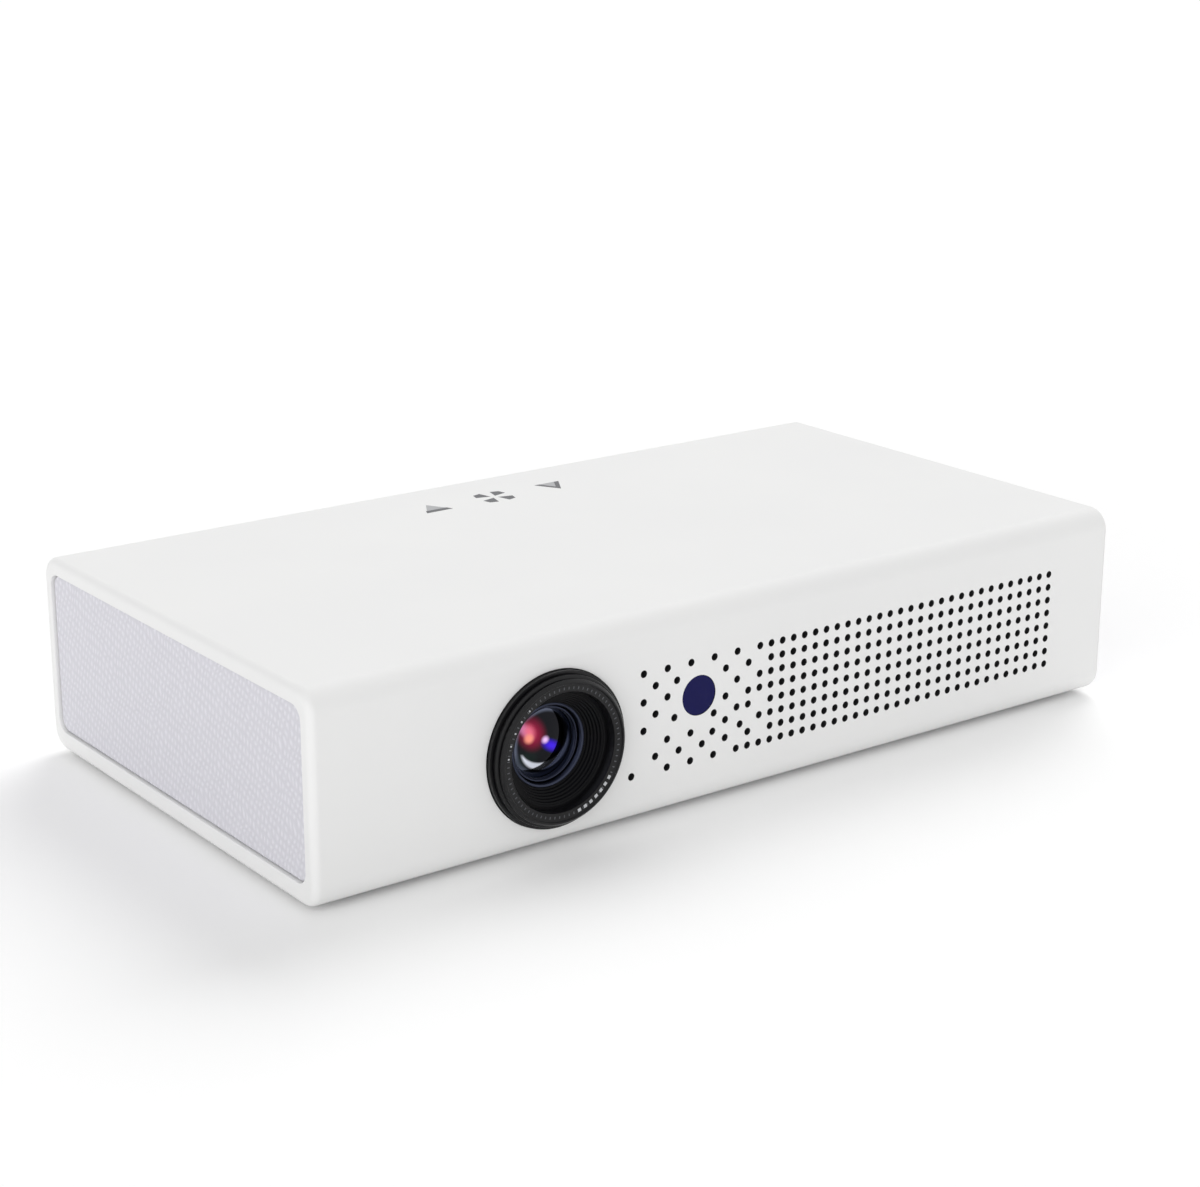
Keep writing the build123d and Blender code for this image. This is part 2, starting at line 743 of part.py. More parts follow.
rotor_front = fan_y[0] + 1
rotor_back = fan_y[1] - motor_plate - 0.1
with BuildPart() as fan_rotor:
    drum(fan_x, fan_z, (rotor_front, rotor_back), fan_hub_radius)
    blade_length = fan_bore_radius - fan_tip_gap - fan_hub_radius
    blade_chord = rotor_back - rotor_front + 1
    blade_origin = (fan_x, (rotor_front + rotor_back) / 2, fan_z)
    with Locations(Plane(origin=blade_origin, x_dir=(1, 0, 0), z_dir=(0, -1, 0))):
        with PolarLocations(fan_hub_radius + blade_length / 2 - 0.5, fan_blades):
            Box(blade_length, blade_chord, 0.9, rotation=(40, 0, 0))
save(fan_rotor, "fan_rotor")

# ================================================================ boards, sockets and power button
with BuildPart() as main_board:
    block(board_x, board_y, (board_z, board_top))
    # Processor with its cooler, memory and coils.
    chip_x, chip_y = (board_x[0] + board_x[1]) / 2, board_y[0] + 14
    block((chip_x - 9, chip_x + 9), (chip_y - 9, chip_y + 9), (board_top, board_top + 8))
    block((chip_x + 14, chip_x + 26), (chip_y - 6, chip_y + 8), (board_top, board_top + 1.6))
    block((board_x[0] + 12, board_x[0] + 20), (chip_y - 4, chip_y + 4), (board_top, board_top + 5))
save(main_board, "main_board")

with BuildPart() as hdmi_socket:
    shell_x = (hdmi_x - hdmi_size[0] / 2, hdmi_x + hdmi_size[0] / 2)
    block(shell_x, (socket_mouth - 12, socket_mouth), (board_top, board_top + hdmi_size[1]))
    block(
        (shell_x[0] + 0.5, shell_x[1] - 0.5),
        (socket_mouth - 9, socket_mouth),
        (board_top + 0.5, board_top + hdmi_size[1] - 0.5),
        Mode.SUBTRACT,
    )
    block(
        (hdmi_x - 6, hdmi_x + 6),
        (socket_mouth - 9, socket_mouth - 1),
        (board_top + 2.6, board_top + 3.8),
    )
save(hdmi_socket, "hdmi_socket")

with BuildPart() as usb_sockets:
    for x in usb_places:
        half = usb_size[0] / 2
        block((x - half, x + half), (socket_mouth - 14, socket_mouth), (board_top, board_top + usb_size[1]))
        block(
            (x - half + 0.5, x + half - 0.5),
            (socket_mouth - 11, socket_mouth),
            (board_top + 0.5, board_top + usb_size[1] - 0.5),
            Mode.SUBTRACT,
        )
        block((x - 5.5, x + 5.5), (socket_mouth - 11, socket_mouth - 1), (board_top + 4.2, board_top + 6.0))
save(usb_sockets, "usb_sockets")

with BuildPart() as audio_jack:
    jack_front = inner_back - 1.0
    block((audio_x - 3.2, audio_x + 3.2), (jack_front - 12, jack_front), (board_top, board_top + 6.6))
    drum(audio_x, audio_z, (jack_front, socket_mouth), audio_barrel_radius)
    drum(audio_x, audio_z, (socket_mouth - audio_depth, socket_mouth), audio_bore_radius, Mode.SUBTRACT)
save(audio_jack, "audio_jack")

with BuildPart() as power_socket:
    jack_front = inner_back - 1.0
    half = power_barrel_radius + 0.6
    block((power_x - half, power_x + half), (jack_front - 11, jack_front), (board_top, power_z + half))
    drum(power_x, power_z, (jack_front, socket_mouth), power_barrel_radius)
    drum(power_x, power_z, (socket_mouth - power_depth, socket_mouth), power_bore_radius, Mode.SUBTRACT)
    with BuildSketch(across(socket_mouth - 1)):
        with Locations((power_x, power_z)):
            RegularPolygon(power_pin_radius, 6)
    extrude(amount=power_depth - 1)
save(power_socket, "power_socket")

button_flange = 1.2
button_rest = back
with BuildPart() as power_button:
    drum(button_x, button_z, (inner_back - 0.1, button_rest), button_radius)
    half = button_radius + 1.2
    block(
        (button_x - half, button_x + half),
        (inner_back - 0.1 - button_flange, inner_back - 0.1),
        (button_z - half, button_z + half),
    )
save(power_button, "power_button")

switch_face = inner_back - 0.1 - button_flange - button_travel - 0.2
with BuildPart() as power_switch:
    block((button_x - 3, button_x + 3), (switch_face - 5, switch_face), (board_top, button_z + 3))
save(power_switch, "power_switch")

with BuildPart() as power_board:
    block(power_board_x, power_board_y, (power_board_z, power_board_z + board_thickness))
    coil_x = (power_board_x[0] + power_board_x[1]) / 2
    coil_y = (power_board_y[0] + power_board_y[1]) / 2
    block((coil_x - 8, coil_x + 8), (coil_y - 8, coil_y + 8), (power_board_z - 9, power_board_z))
    block((coil_x - 16, coil_x + 12), (coil_y + 16, coil_y + 26), (power_board_z - 12, power_board_z))
    block((coil_x - 10, coil_x + 14), (coil_y - 30, coil_y - 16), (power_board_z - 6, power_board_z))
save(power_board, "power_board")

# ================================================================ disc drive: fixed parts
pan_wall_top = drive_top - sheet
with BuildPart() as drive_pan:
    block((drive_left, drive_right), (drive_end, drive_mouth), (drive_floor, pan_wall_top))
    block(
        (drive_left + sheet, drive_right - sheet),
        (drive_end + sheet, drive_mouth),
        (drive_floor + sheet, pan_wall_top),
        Mode.SUBTRACT,
    )
save(drive_pan, "drive_pan")

with BuildPart() as drive_cover:
    block((drive_left, drive_right), (drive_end, drive_mouth), (pan_wall_top, drive_top))
save(drive_cover, "drive_cover")

with BuildPart() as drive_adapter_board:
    block(
        (drive_right - 54, drive_right - 8),
        (drive_end - 3.5, drive_end),
        (drive_floor + 2, drive_floor + 9),
    )
save(drive_adapter_board, "drive_adapter_board")

# Heights above the drive's floor that the tray and its slides share.
tray_low = drive_floor + sheet + tray_gap
floor_under = tray_low + traverse_space
floor_top = floor_under + tray_floor
rim_top = floor_top + tray_rim_height
tongue_z = (tray_low + 1.85, tray_low + 2.95)
slide_gap = 0.15
rail_wall = 1.1
rail_z = (tongue_z[0] - slide_gap - rail_wall, tongue_z[1] + slide_gap + rail_wall)
guide_z = (drive_floor + sheet, rail_z[1] + slide_gap + 1.2)
guide_depth = 2.4
guide_web = 0.95
rail_reach = 1.4             # how far a rail lies outside its guide's mouth

pan_side = drive_width / 2 - sheet
guide_inner = pan_side - guide_depth
rail_outer = pan_side - guide_web - slide_gap
rail_inner = guide_inner - rail_reach + 0.3
tray_half = rail_inner - 0.2
rail_length = drive_depth - 18
rail_start = drive_end + 5
rail_share = 0.5             # the rails go half as far as the tray


def both_sides(x):
    """The same pair of distances from the drive's middle, on its left and on its right."""
    return ((drive_x - x[1], drive_x - x[0]), (drive_x + x[0], drive_x + x[1]))


with BuildPart() as rail_guides:
    guide_y = (drive_end + sheet + 0.4, drive_mouth - 1)
    for x in both_sides((guide_inner, pan_side)):
        block(x, guide_y, guide_z)
    for x in both_sides((guide_inner, pan_side - guide_web)):
        block(x, guide_y, (rail_z[0] - slide_gap, rail_z[1] + slide_gap), Mode.SUBTRACT)
save(rail_guides, "rail_guides")

with BuildPart() as tray_rails:
    rail_y = (rail_start, rail_start + rail_length)
    for x in both_sides((rail_inner, rail_outer)):
        block(x, rail_y, rail_z)
    for x in both_sides((rail_inner, rail_inner + 1.4)):
        block(x, rail_y, (tongue_z[0] - slide_gap, tongue_z[1] + slide_gap), Mode.SUBTRACT)
save(tray_rails, "tray_rails")

# ================================================================ disc drive: tray
tray_back = drive_end + sheet + 1.0
tray_front = back - bezel_thickness
disc_y = (tray_back + tray_front) / 2
disc_centre = (drive_x, disc_y)
tray_travel = back - (disc_y - disc_radius - disc_play) + 0.6
# The sled runs along a diagonal, out from the hub towards the corner beside the bezel.
diagonal = Plane(origin=(drive_x, disc_y, 0), x_dir=(1, 1, 0), z_dir=(0, 0, 1))

turntable_radius = 14.5
spindle_motor_radius = 12.0
turntable_low = floor_under + 0.2
turntable_top = floor_top + 1.2
hub_radius = 7.4
hub_height = 2.4
lens_inner_track = 24.0
objective_radius = 2.2
sled_travel = 34.0
sled_half = 15.5
sled_inner, sled_outer = lens_inner_track - 7.5, lens_inner_track + 5.0
sled_z = (tray_low + 1.1, floor_top - 0.6)
# Beyond its lens the sled is low enough to pass under the tray's floor.
sled_step = lens_inner_track + objective_radius + 0.6
window_span = (sled_inner - 1, sled_step + sled_travel + 0.6)
rod_radius = 1.25
rod_offset = 12.5
rod_z = tray_low + 2.9
rod_span = (15.5, 64.0)
screw_offset = 18.3
lead_screw_radius = 1.4
screw_span = (7.1, 57.0)

with BuildPart() as disc_tray:
    block((drive_x - tray_half, drive_x + tray_half), (tray_back, tray_front), (tray_low, rim_top))
    # Tongues that run in the rails.
    for x in both_sides((tray_half - 1, tray_half + 1.4)):
        block(x, (tray_back, tray_back + 46), tongue_z)
    # Hollow below the floor.
    block(
        (drive_x - tray_half + tray_wall, drive_x + tray_half - tray_wall),
        (tray_back + tray_wall, tray_front - tray_wall),
        (tray_low, floor_under),
        Mode.SUBTRACT,
    )
    # Recess for a full-size disc, and a shallower step for a small one.
    with BuildSketch(Plane.XY.offset(floor_top)):
        with Locations(disc_centre):
            Circle(disc_radius + disc_play)
    extrude(amount=tray_rim_height, mode=Mode.SUBTRACT)
    with BuildSketch(Plane.XY.offset(floor_top - small_recess_depth)):
        with Locations(disc_centre):
            Circle(small_disc_diameter / 2 + disc_play)
    extrude(amount=small_recess_depth, mode=Mode.SUBTRACT)
    # Openings for the turntable and the pickup.
    with BuildSketch(Plane.XY.offset(floor_under)):
        with Locations(disc_centre):
            Circle(turntable_radius + 2)
    extrude(amount=tray_floor, mode=Mode.SUBTRACT)
    with BuildSketch(diagonal.offset(floor_under)):
        with Locations(((window_span[0] + window_span[1]) / 2, 0)):
            Rectangle(window_span[1] - window_span[0], 2 * sled_half + 1.6)
    extrude(amount=tray_floor, mode=Mode.SUBTRACT)
    # Finger notches in the rim.
    for side in (-1, 1):
        block(
            (drive_x + side * 30 - 11, drive_x + side * 30 + 11),
            (tray_front - 18, tray_front - 7),
            (floor_top, rim_top),
            Mode.SUBTRACT,
        )
save(disc_tray, "disc_tray")

eject_x = drive_x - 48
eject_z = drive_floor + drive_height / 2
eject_cap = (9.0, 3.0)
eject_flange = (11.0, 5.0, 0.6)
eject_pocket = 1.5
eject_travel = eject_pocket - eject_flange[2] - 0.2
with BuildPart() as tray_bezel:
    block((drive_left, drive_right), (tray_front, back), (drive_floor, drive_top))
    block(
        (eject_x - eject_flange[0] / 2 - 0.3, eject_x + eject_flange[0] / 2 + 0.3),
        (tray_front, tray_front + eject_pocket),
        (eject_z - eject_flange[1] / 2 - 0.3, eject_z + eject_flange[1] / 2 + 0.3),
        Mode.SUBTRACT,
    )
    block(
        (eject_x - eject_cap[0] / 2 - 0.2, eject_x + eject_cap[0] / 2 + 0.2),
        (tray_front, back),
        (eject_z - eject_cap[1] / 2 - 0.2, eject_z + eject_cap[1] / 2 + 0.2),
        Mode.SUBTRACT,
    )
    # Pin hole for opening the tray without power.
    with BuildSketch(across(tray_front)):
        with Locations((eject_x - 10, eject_z)):
            RegularPolygon(0.7, 6)
    extrude(amount=-bezel_thickness, mode=Mode.SUBTRACT)
save(tray_bezel, "tray_bezel")

eject_back = tray_front + eject_pocket - 0.05 - eject_flange[2]
with BuildPart() as eject_button:
    block(
        (eject_x - eject_flange[0] / 2, eject_x + eject_flange[0] / 2),
        (eject_back, eject_back + eject_flange[2]),
        (eject_z - eject_flange[1] / 2, eject_z + eject_flange[1] / 2),
    )
    block(
        (eject_x - eject_cap[0] / 2, eject_x + eject_cap[0] / 2),
        (eject_back + eject_flange[2], back),
        (eject_z - eject_cap[1] / 2, eject_z + eject_cap[1] / 2),
    )
save(eject_button, "eject_button")

# ================================================================ disc drive: traverse under the tray
plate_z = (tray_low, tray_low + sheet)
with BuildPart() as traverse_plate:
    with BuildSketch(diagonal.offset(plate_z[0])):
        with BuildLine():
            Polyline(
                (-15, -16.5), (58, -16.5), (66, -14), (66, 14), (59, 20.5), (-15, 20.5), close=True
            )
        make_face()
    extrude(amount=sheet)
    # Blocks that carry the rods and the lead screw.
    with BuildSketch(diagonal.offset(plate_z[1])):
        with Locations(*[(r, side * rod_offset) for r in (rod_span[0] - 1, rod_span[1] + 1) for side in (-1, 1)]):
            Rectangle(2, 4)
        with Locations((screw_span[1] + 1.1, screw_offset)):
            Rectangle(2, 4)
    extrude(amount=rod_z + rod_radius - plate_z[1] + 0.3)
    # Posts up to the tray's floor.
    with BuildSketch(diagonal.offset(plate_z[1])):
        with Locations((-12, -13.5), (-12, 17.5)):
            Rectangle(4, 4)
    extrude(amount=floor_under - plate_z[1])
save(traverse_plate, "traverse_plate")

motor_top = turntable_low - 0.4
with BuildPart() as spindle_motor:
    with BuildSketch(Plane.XY.offset(plate_z[1])):
        with Locations(disc_centre):
            RegularPolygon(spindle_motor_radius, 2 * flats)
            Circle(shaft_radius + 0.05, mode=Mode.SUBTRACT)
    extrude(amount=motor_top - plate_z[1])
save(spindle_motor, "spindle_motor")

with BuildPart() as turntable_hub:
    with BuildSketch(Plane.XY.offset(plate_z[1] + 0.5)):
        with Locations(disc_centre):
            Circle(shaft_radius)
    extrude(amount=turntable_low - plate_z[1] - 0.5)
    with BuildSketch(Plane.XY.offset(turntable_low)):
        with Locations(disc_centre):
            Circle(turntable_radius)
    extrude(amount=turntable_top - turntable_low)
    with BuildSketch(Plane.XY.offset(turntable_top)):
        with Locations(disc_centre):
            Circle(hub_radius)
    extrude(amount=hub_height)
save(turntable_hub, "turntable_hub")


def along_diagonal(span, lateral, z, radius, mode=Mode.ADD):
    """A rod, a screw or a bore that runs with the sled."""
    plane = Plane(
        origin=diagonal.from_local_coords((span[0], lateral, z)), x_dir=(0, 0, 1), z_dir=(1, 1, 0)
    )
    with BuildSketch(plane) as outline:
        Circle(radius)
    extrude(outline.sketch, amount=span[1] - span[0], mode=mode)


with BuildPart() as guide_rods:
    for side in (-1, 1):
        along_diagonal(rod_span, side * rod_offset, rod_z, rod_radius)
save(guide_rods, "guide_rods")

with BuildPart() as lead_screw:
    along_diagonal(screw_span, screw_offset, rod_z, lead_screw_radius)
save(lead_screw, "lead_screw")

with BuildPart() as sled_motor:
    along_diagonal((-4, 7), screw_offset, rod_z - 0.1, 2.2)
save(sled_motor, "sled_motor")

nut_span = (18.0, 22.0)
rod_bore = rod_radius + 0.06
nut_bore = lead_screw_radius + 0.1
with BuildPart() as pickup_sled:
    with BuildSketch(diagonal.offset(sled_z[0])):
        with BuildLine():
            Polyline(
                (sled_inner, -sled_half),
                (sled_outer - 6, -sled_half),
                (sled_outer, -sled_half + 6),
                (sled_outer, sled_half - 6),
                (sled_outer - 6, sled_half),
                (sled_inner, sled_half),
                close=True,
            )
        make_face()
    extrude(amount=sled_z[1] - sled_z[0])
    with BuildSketch(diagonal.offset(floor_under - 0.3)):
        with Locations(((sled_step + sled_outer) / 2, 0)):
            Rectangle(sled_outer - sled_step, 2 * sled_half)
    extrude(amount=sled_z[1] - floor_under + 0.3, mode=Mode.SUBTRACT)
    # Half nut that rides on the lead screw.
    with BuildSketch(diagonal.offset(sled_z[0])):
        with Locations(((nut_span[0] + nut_span[1]) / 2, (sled_half + screw_offset + 2.4) / 2)):
            Rectangle(nut_span[1] - nut_span[0], screw_offset + 2.4 - sled_half)
    extrude(amount=rod_z + 2.2 - sled_z[0])
    # One bushed bore, and an open fork on the other rod. The half nut is open below.
    along_diagonal((sled_inner - 1, sled_outer + 1), rod_offset, rod_z, rod_bore, Mode.SUBTRACT)
    with BuildSketch(diagonal.offset(sled_z[0])):
        with Locations(((sled_inner + sled_outer) / 2, -rod_offset)):
            Rectangle(sled_outer - sled_inner, 2 * rod_bore)
        with Locations(((nut_span[0] + nut_span[1]) / 2, screw_offset)):
            Rectangle(nut_span[1] - nut_span[0], 2 * nut_bore)
    extrude(amount=rod_z + nut_bore - sled_z[0], mode=Mode.SUBTRACT)
    # Seat for the objective lens.
    with BuildSketch(diagonal.offset(sled_z[1] - 1)):
        with Locations((lens_inner_track, 0)):
            RegularPolygon(objective_radius, flats)
    extrude(amount=1, mode=Mode.SUBTRACT)
save(pickup_sled, "pickup_sled")

with BuildPart() as objective_lens:
    with BuildSketch(diagonal.offset(sled_z[1] - 1)):
        with Locations((lens_inner_track, 0)):
            RegularPolygon(objective_radius, flats)
    extrude(amount=1.2)
save(objective_lens, "objective_lens")

print("body", round(body_width, 1), round(body_depth, 1), round(body_height, 1))
print("focus ratio, metres per radian", focus_travel / 1000 / radians(focus_turn))
print("tray travel", tray_travel, "rail travel", tray_travel * rail_share, "eject travel", eject_travel)
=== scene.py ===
"""Dresses a home projector with a disc drive: shell, meshes, lens, marks, insides and stage."""

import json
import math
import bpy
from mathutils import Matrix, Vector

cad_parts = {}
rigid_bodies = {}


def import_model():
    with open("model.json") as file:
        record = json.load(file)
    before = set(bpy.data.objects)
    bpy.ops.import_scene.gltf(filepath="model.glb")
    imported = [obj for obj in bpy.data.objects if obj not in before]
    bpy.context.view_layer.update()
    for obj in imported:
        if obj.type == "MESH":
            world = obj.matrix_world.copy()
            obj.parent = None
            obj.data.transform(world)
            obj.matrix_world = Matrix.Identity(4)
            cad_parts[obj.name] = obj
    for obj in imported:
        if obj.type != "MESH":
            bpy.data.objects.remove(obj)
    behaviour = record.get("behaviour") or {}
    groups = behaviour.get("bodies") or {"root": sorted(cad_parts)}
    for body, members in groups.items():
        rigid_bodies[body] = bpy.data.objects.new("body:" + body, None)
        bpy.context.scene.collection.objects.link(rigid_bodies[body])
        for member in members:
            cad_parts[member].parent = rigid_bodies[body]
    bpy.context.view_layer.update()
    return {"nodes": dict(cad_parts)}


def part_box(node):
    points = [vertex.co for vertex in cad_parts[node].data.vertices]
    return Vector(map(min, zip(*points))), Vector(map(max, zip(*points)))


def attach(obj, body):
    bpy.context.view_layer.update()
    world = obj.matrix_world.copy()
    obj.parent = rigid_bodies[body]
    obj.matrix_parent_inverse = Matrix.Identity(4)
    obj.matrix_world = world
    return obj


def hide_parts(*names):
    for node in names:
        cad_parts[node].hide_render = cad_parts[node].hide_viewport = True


bl_info = {
    "name": "Disc projector",
    "version": (1, 0, 0),
    "blender": (4, 5, 0),
    "location": "3D View > Sidebar > Projector",
    "description": "Builds the finished pieces of a home projector round its CAD frame",
    "category": "Object",
}

import bmesh
import bpy
from bpy.props import FloatProperty, FloatVectorProperty, IntProperty, PointerProperty
from mathutils import Matrix, Vector

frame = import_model()
NODES = frame["nodes"]
MM = 0.001

SHELL_LOW, SHELL_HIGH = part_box("upper_housing")
MIDDLE_Y = (SHELL_LOW.y + SHELL_HIGH.y) / 2
RING_LOW, RING_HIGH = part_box("focus_ring")
# Where a turned outline meets its axis: not quite 0, so that no face collapses there.
AXIS = 0.001
LENS_X = (RING_LOW.x + RING_HIGH.x) / 2
LENS_Z = (RING_LOW.z + RING_HIGH.z) / 2
FRONT = SHELL_LOW.y
GLASS_BACK_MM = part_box("front_glass")[1].y / MM
GLASS_VIEW_MM = 9.6


# ------------------------------------------------------------------ colours and shader nodes


def linear(hex_colour):
    """An sRGB hex colour as linear RGBA."""
    parts = [int(hex_colour[i : i + 2], 16) / 255 for i in (1, 3, 5)]
    return (*[p / 12.92 if p <= 0.04045 else ((p + 0.055) / 1.055) ** 2.4 for p in parts], 1.0)


def chosen(part):
    """The colour that the user's settings give a part."""
    return tuple(getattr(bpy.context.scene.part_colours, part))


def add(tree, kind, links=(), **settings):
    """Adds a node. Settings name its properties or inputs, and links give (input, source socket)."""
    node = tree.nodes.new(kind)
    for name, value in settings.items():
        if hasattr(node, name):
            setattr(node, name, value)
        else:
            node.inputs[name.replace("_", " ")].default_value = value
    for name, source in links:
        tree.links.new(source, node.inputs[name])
    return node


def new_material(name, **settings):
    """An empty material, with its node tree and its shader, whose inputs the settings name."""
    material = bpy.data.materials.new(name)
    material.use_nodes = True
    tree = material.node_tree
    tree.nodes.clear()
    shader = add(tree, "ShaderNodeBsdfPrincipled", **settings)
    output = add(tree, "ShaderNodeOutputMaterial")
    tree.links.new(shader.outputs["BSDF"], output.inputs["Surface"])
    return material, tree, shader


def place(tree, scale_mm, stretch=(1, 1, 1)):
    """Object coordinates in units of scale_mm."""
    where = add(tree, "ShaderNodeTexCoord")
    size = [s / (scale_mm * MM) for s in stretch]
    mapped = add(tree, "ShaderNodeMapping", [("Vector", where.outputs["Object"])], Scale=size)
    return mapped.outputs["Vector"]


def grain(tree, shader, scale_mm, depth_mm, stretch=(1, 1, 1), detail=2.0):
    """A fine uneven surface, as a bump."""
    noise = add(
        tree, "ShaderNodeTexNoise", [("Vector", place(tree, scale_mm, stretch))], Scale=1.0, Detail=detail
    )
    bump = add(
        tree, "ShaderNodeBump", [("Height", noise.outputs["Fac"])], Strength=1.0, Distance=depth_mm * MM
    )
    tree.links.new(bump.outputs["Normal"], shader.inputs["Normal"])
    return bump


def maths(tree, operation, *values):
    """The result of a sum in a node tree; each value is a number or a socket."""
    node = add(tree, "ShaderNodeMath", operation=operation)
    for index, value in enumerate(values):
        if isinstance(value, (int, float)):
            node.inputs[index].default_value = value
        else:
            tree.links.new(value, node.inputs[index])
    return node.outputs[0]


def blend(tree, factor, first=None, second=None):
    """A mix of two colours, given as sRGB hex or as linear RGBA, or left out where one is linked."""
    mix = add(tree, "ShaderNodeMix", [(0, factor)], data_type="RGBA")
    for socket, colour in ((6, first), (7, second)):
        if colour:
            mix.inputs[socket].default_value = linear(colour) if isinstance(colour, str) else colour
    return mix


def mottle(tree, shader, colour, other, scale_mm, roughness=None):
    """Slow changes of colour, and of roughness where a range is given."""
    noise = add(tree, "ShaderNodeTexNoise", [("Vector", place(tree, scale_mm))], Scale=1.0, Detail=3.0)
    ramp = blend(tree, noise.outputs["Fac"], colour, other)
    tree.links.new(ramp.outputs[2], shader.inputs["Base Color"])
    if roughness:
        spread = add(
            tree,
            "ShaderNodeMapRange",
            [("Value", noise.outputs["Fac"])],
            To_Min=roughness[0],
            To_Max=roughness[1],
        )
        tree.links.new(spread.outputs["Result"], shader.inputs["Roughness"])


# ------------------------------------------------------------------ materials


def white_abs(name="abs_moulded_white"):
    """ABS from a spark-eroded mould: a very fine satin texture that spreads highlights."""
    material, tree, shader = new_material(name, IOR=1.52)
    mottle(tree, shader, chosen("shell"), "#E9E9E9", 60.0, roughness=(0.36, 0.44))
    grain(tree, shader, 0.35, 0.006)
    return material


def painted_shade_black():
    """Matt black inside the shell and on the walls of its holes, nearly black: painted shade that makes the
    holes look deep and dark.
    """
    material, tree, shader = new_material("shielding_paint_black", Roughness=0.7)
    mottle(tree, shader, "#1C1C1E", "#262628", 10.0)
    return material


def black_abs():
    """Black ABS, spark eroded: dull, with greyish highlights."""
    material, tree, shader = new_material("abs_moulded_black", IOR=1.52)
    mottle(tree, shader, "#121214", "#18181A", 25.0, roughness=(0.42, 0.55))
    grain(tree, shader, 0.4, 0.01)
    return material


def grey_abs():
    """Grey acetal of slides and buttons: waxy and smooth."""
    material, tree, shader = new_material("acetal_grey", IOR=1.48)
    mottle(tree, shader, "#B9BABC", "#AEB0B3", 20.0, roughness=(0.30, 0.38))
    grain(tree, shader, 0.6, 0.004)
    return material


def mesh_cloth():
    """Painted steel cloth over a grey backing, seen as pale lilac grey. Its wires are too fine to show,
    so the weave is drawn at three times its size, with the slow ripple of cloth pulled over a frame."""
    material, tree, shader = new_material("woven_steel_painted", IOR=1.5, Roughness=0.55)
    where = place(tree, 1.0)
    split = add(tree, "ShaderNodeSeparateXYZ", [("Vector", where)])
    wobble = add(tree, "ShaderNodeTexNoise", [("Vector", place(tree, 9.0))], Scale=1.0, Detail=2.0)
    shift = maths(tree, "MULTIPLY_ADD", wobble.outputs["Fac"], 4.4, -2.2)

    def wires(axis, pitch_mm, lean):
        """Rounded wires across one direction: 0 between them and 1 on their crowns."""
        other = "Z" if axis == "Y" else "Y"
        slant = maths(tree, "MULTIPLY_ADD", split.outputs[other], lean, split.outputs[axis])
        turn = maths(tree, "MULTIPLY", maths(tree, "ADD", slant, shift), 2 * math.pi / pitch_mm)
        wave = maths(tree, "SINE", turn)
        crown = add(tree, "ShaderNodeMapRange", [("Value", wave)], From_Min=-1.0, From_Max=1.0)
        return crown.outputs["Result"]

    warp = wires("Y", 1.9, 0.3)
    weft = wires("Z", 2.6, -0.35)
    height = maths(tree, "MULTIPLY", warp, weft)
    mix = blend(tree, height, chosen("mesh"), "#E2E1E8")
    tree.links.new(mix.outputs[2], shader.inputs["Base Color"])
    bump = add(tree, "ShaderNodeBump", [("Height", height)], Strength=0.6, Distance=0.25 * MM)
    tree.links.new(bump.outputs["Normal"], shader.inputs["Normal"])
    return material


def anodised_black():
    """Turned aluminium, anodised black: slow changes of colour and roughness, with soft grey glints."""
    material, tree, shader = new_material("aluminium_anodised_black", Specular_IOR_Level=0.28)
    mottle(tree, shader, chosen("lens_ring"), "#121214", 12.0, roughness=(0.24, 0.34))
    return material


def hood_black():
    """Matt black paint inside the lens."""
    material, tree, shader = new_material(
        "hood_paint_matt_black",
        Roughness=0.5,
        Specular_IOR_Level=0.12,
    )
    mottle(tree, shader, "#060607", "#0B0B0E", 8.0)
    return material


def painted_glint_oval(tree, at, size, turn=0.0, edge=1.0):
    """A soft oval of painted reflection on the front glass: 1 in its middle and 0 outside, in radii of the
    glass.
    """
    radius = GLASS_VIEW_MM * MM
    where = add(tree, "ShaderNodeTexCoord")
    middle = add(
        tree,
        "ShaderNodeMapping",
        [("Vector", where.outputs["Object"])],
        vector_type="TEXTURE",
        Location=(LENS_X + at[0] * radius, 0, LENS_Z + at[1] * radius),
        Rotation=(0, math.radians(turn), 0),
        Scale=(size[0] * radius, 1000.0, size[1] * radius),
    )
    away = add(tree, "ShaderNodeVectorMath", [(0, middle.outputs[0])], operation="LENGTH")
    fade = add(
        tree,
        "ShaderNodeMapRange",
        [("Value", away.outputs["Value"])],
        interpolation_type="SMOOTHSTEP",
        From_Min=1.0 - edge,
        From_Max=1.0,
        To_Min=1.0,
        To_Max=0.0,
    )
    return fade.outputs["Result"]


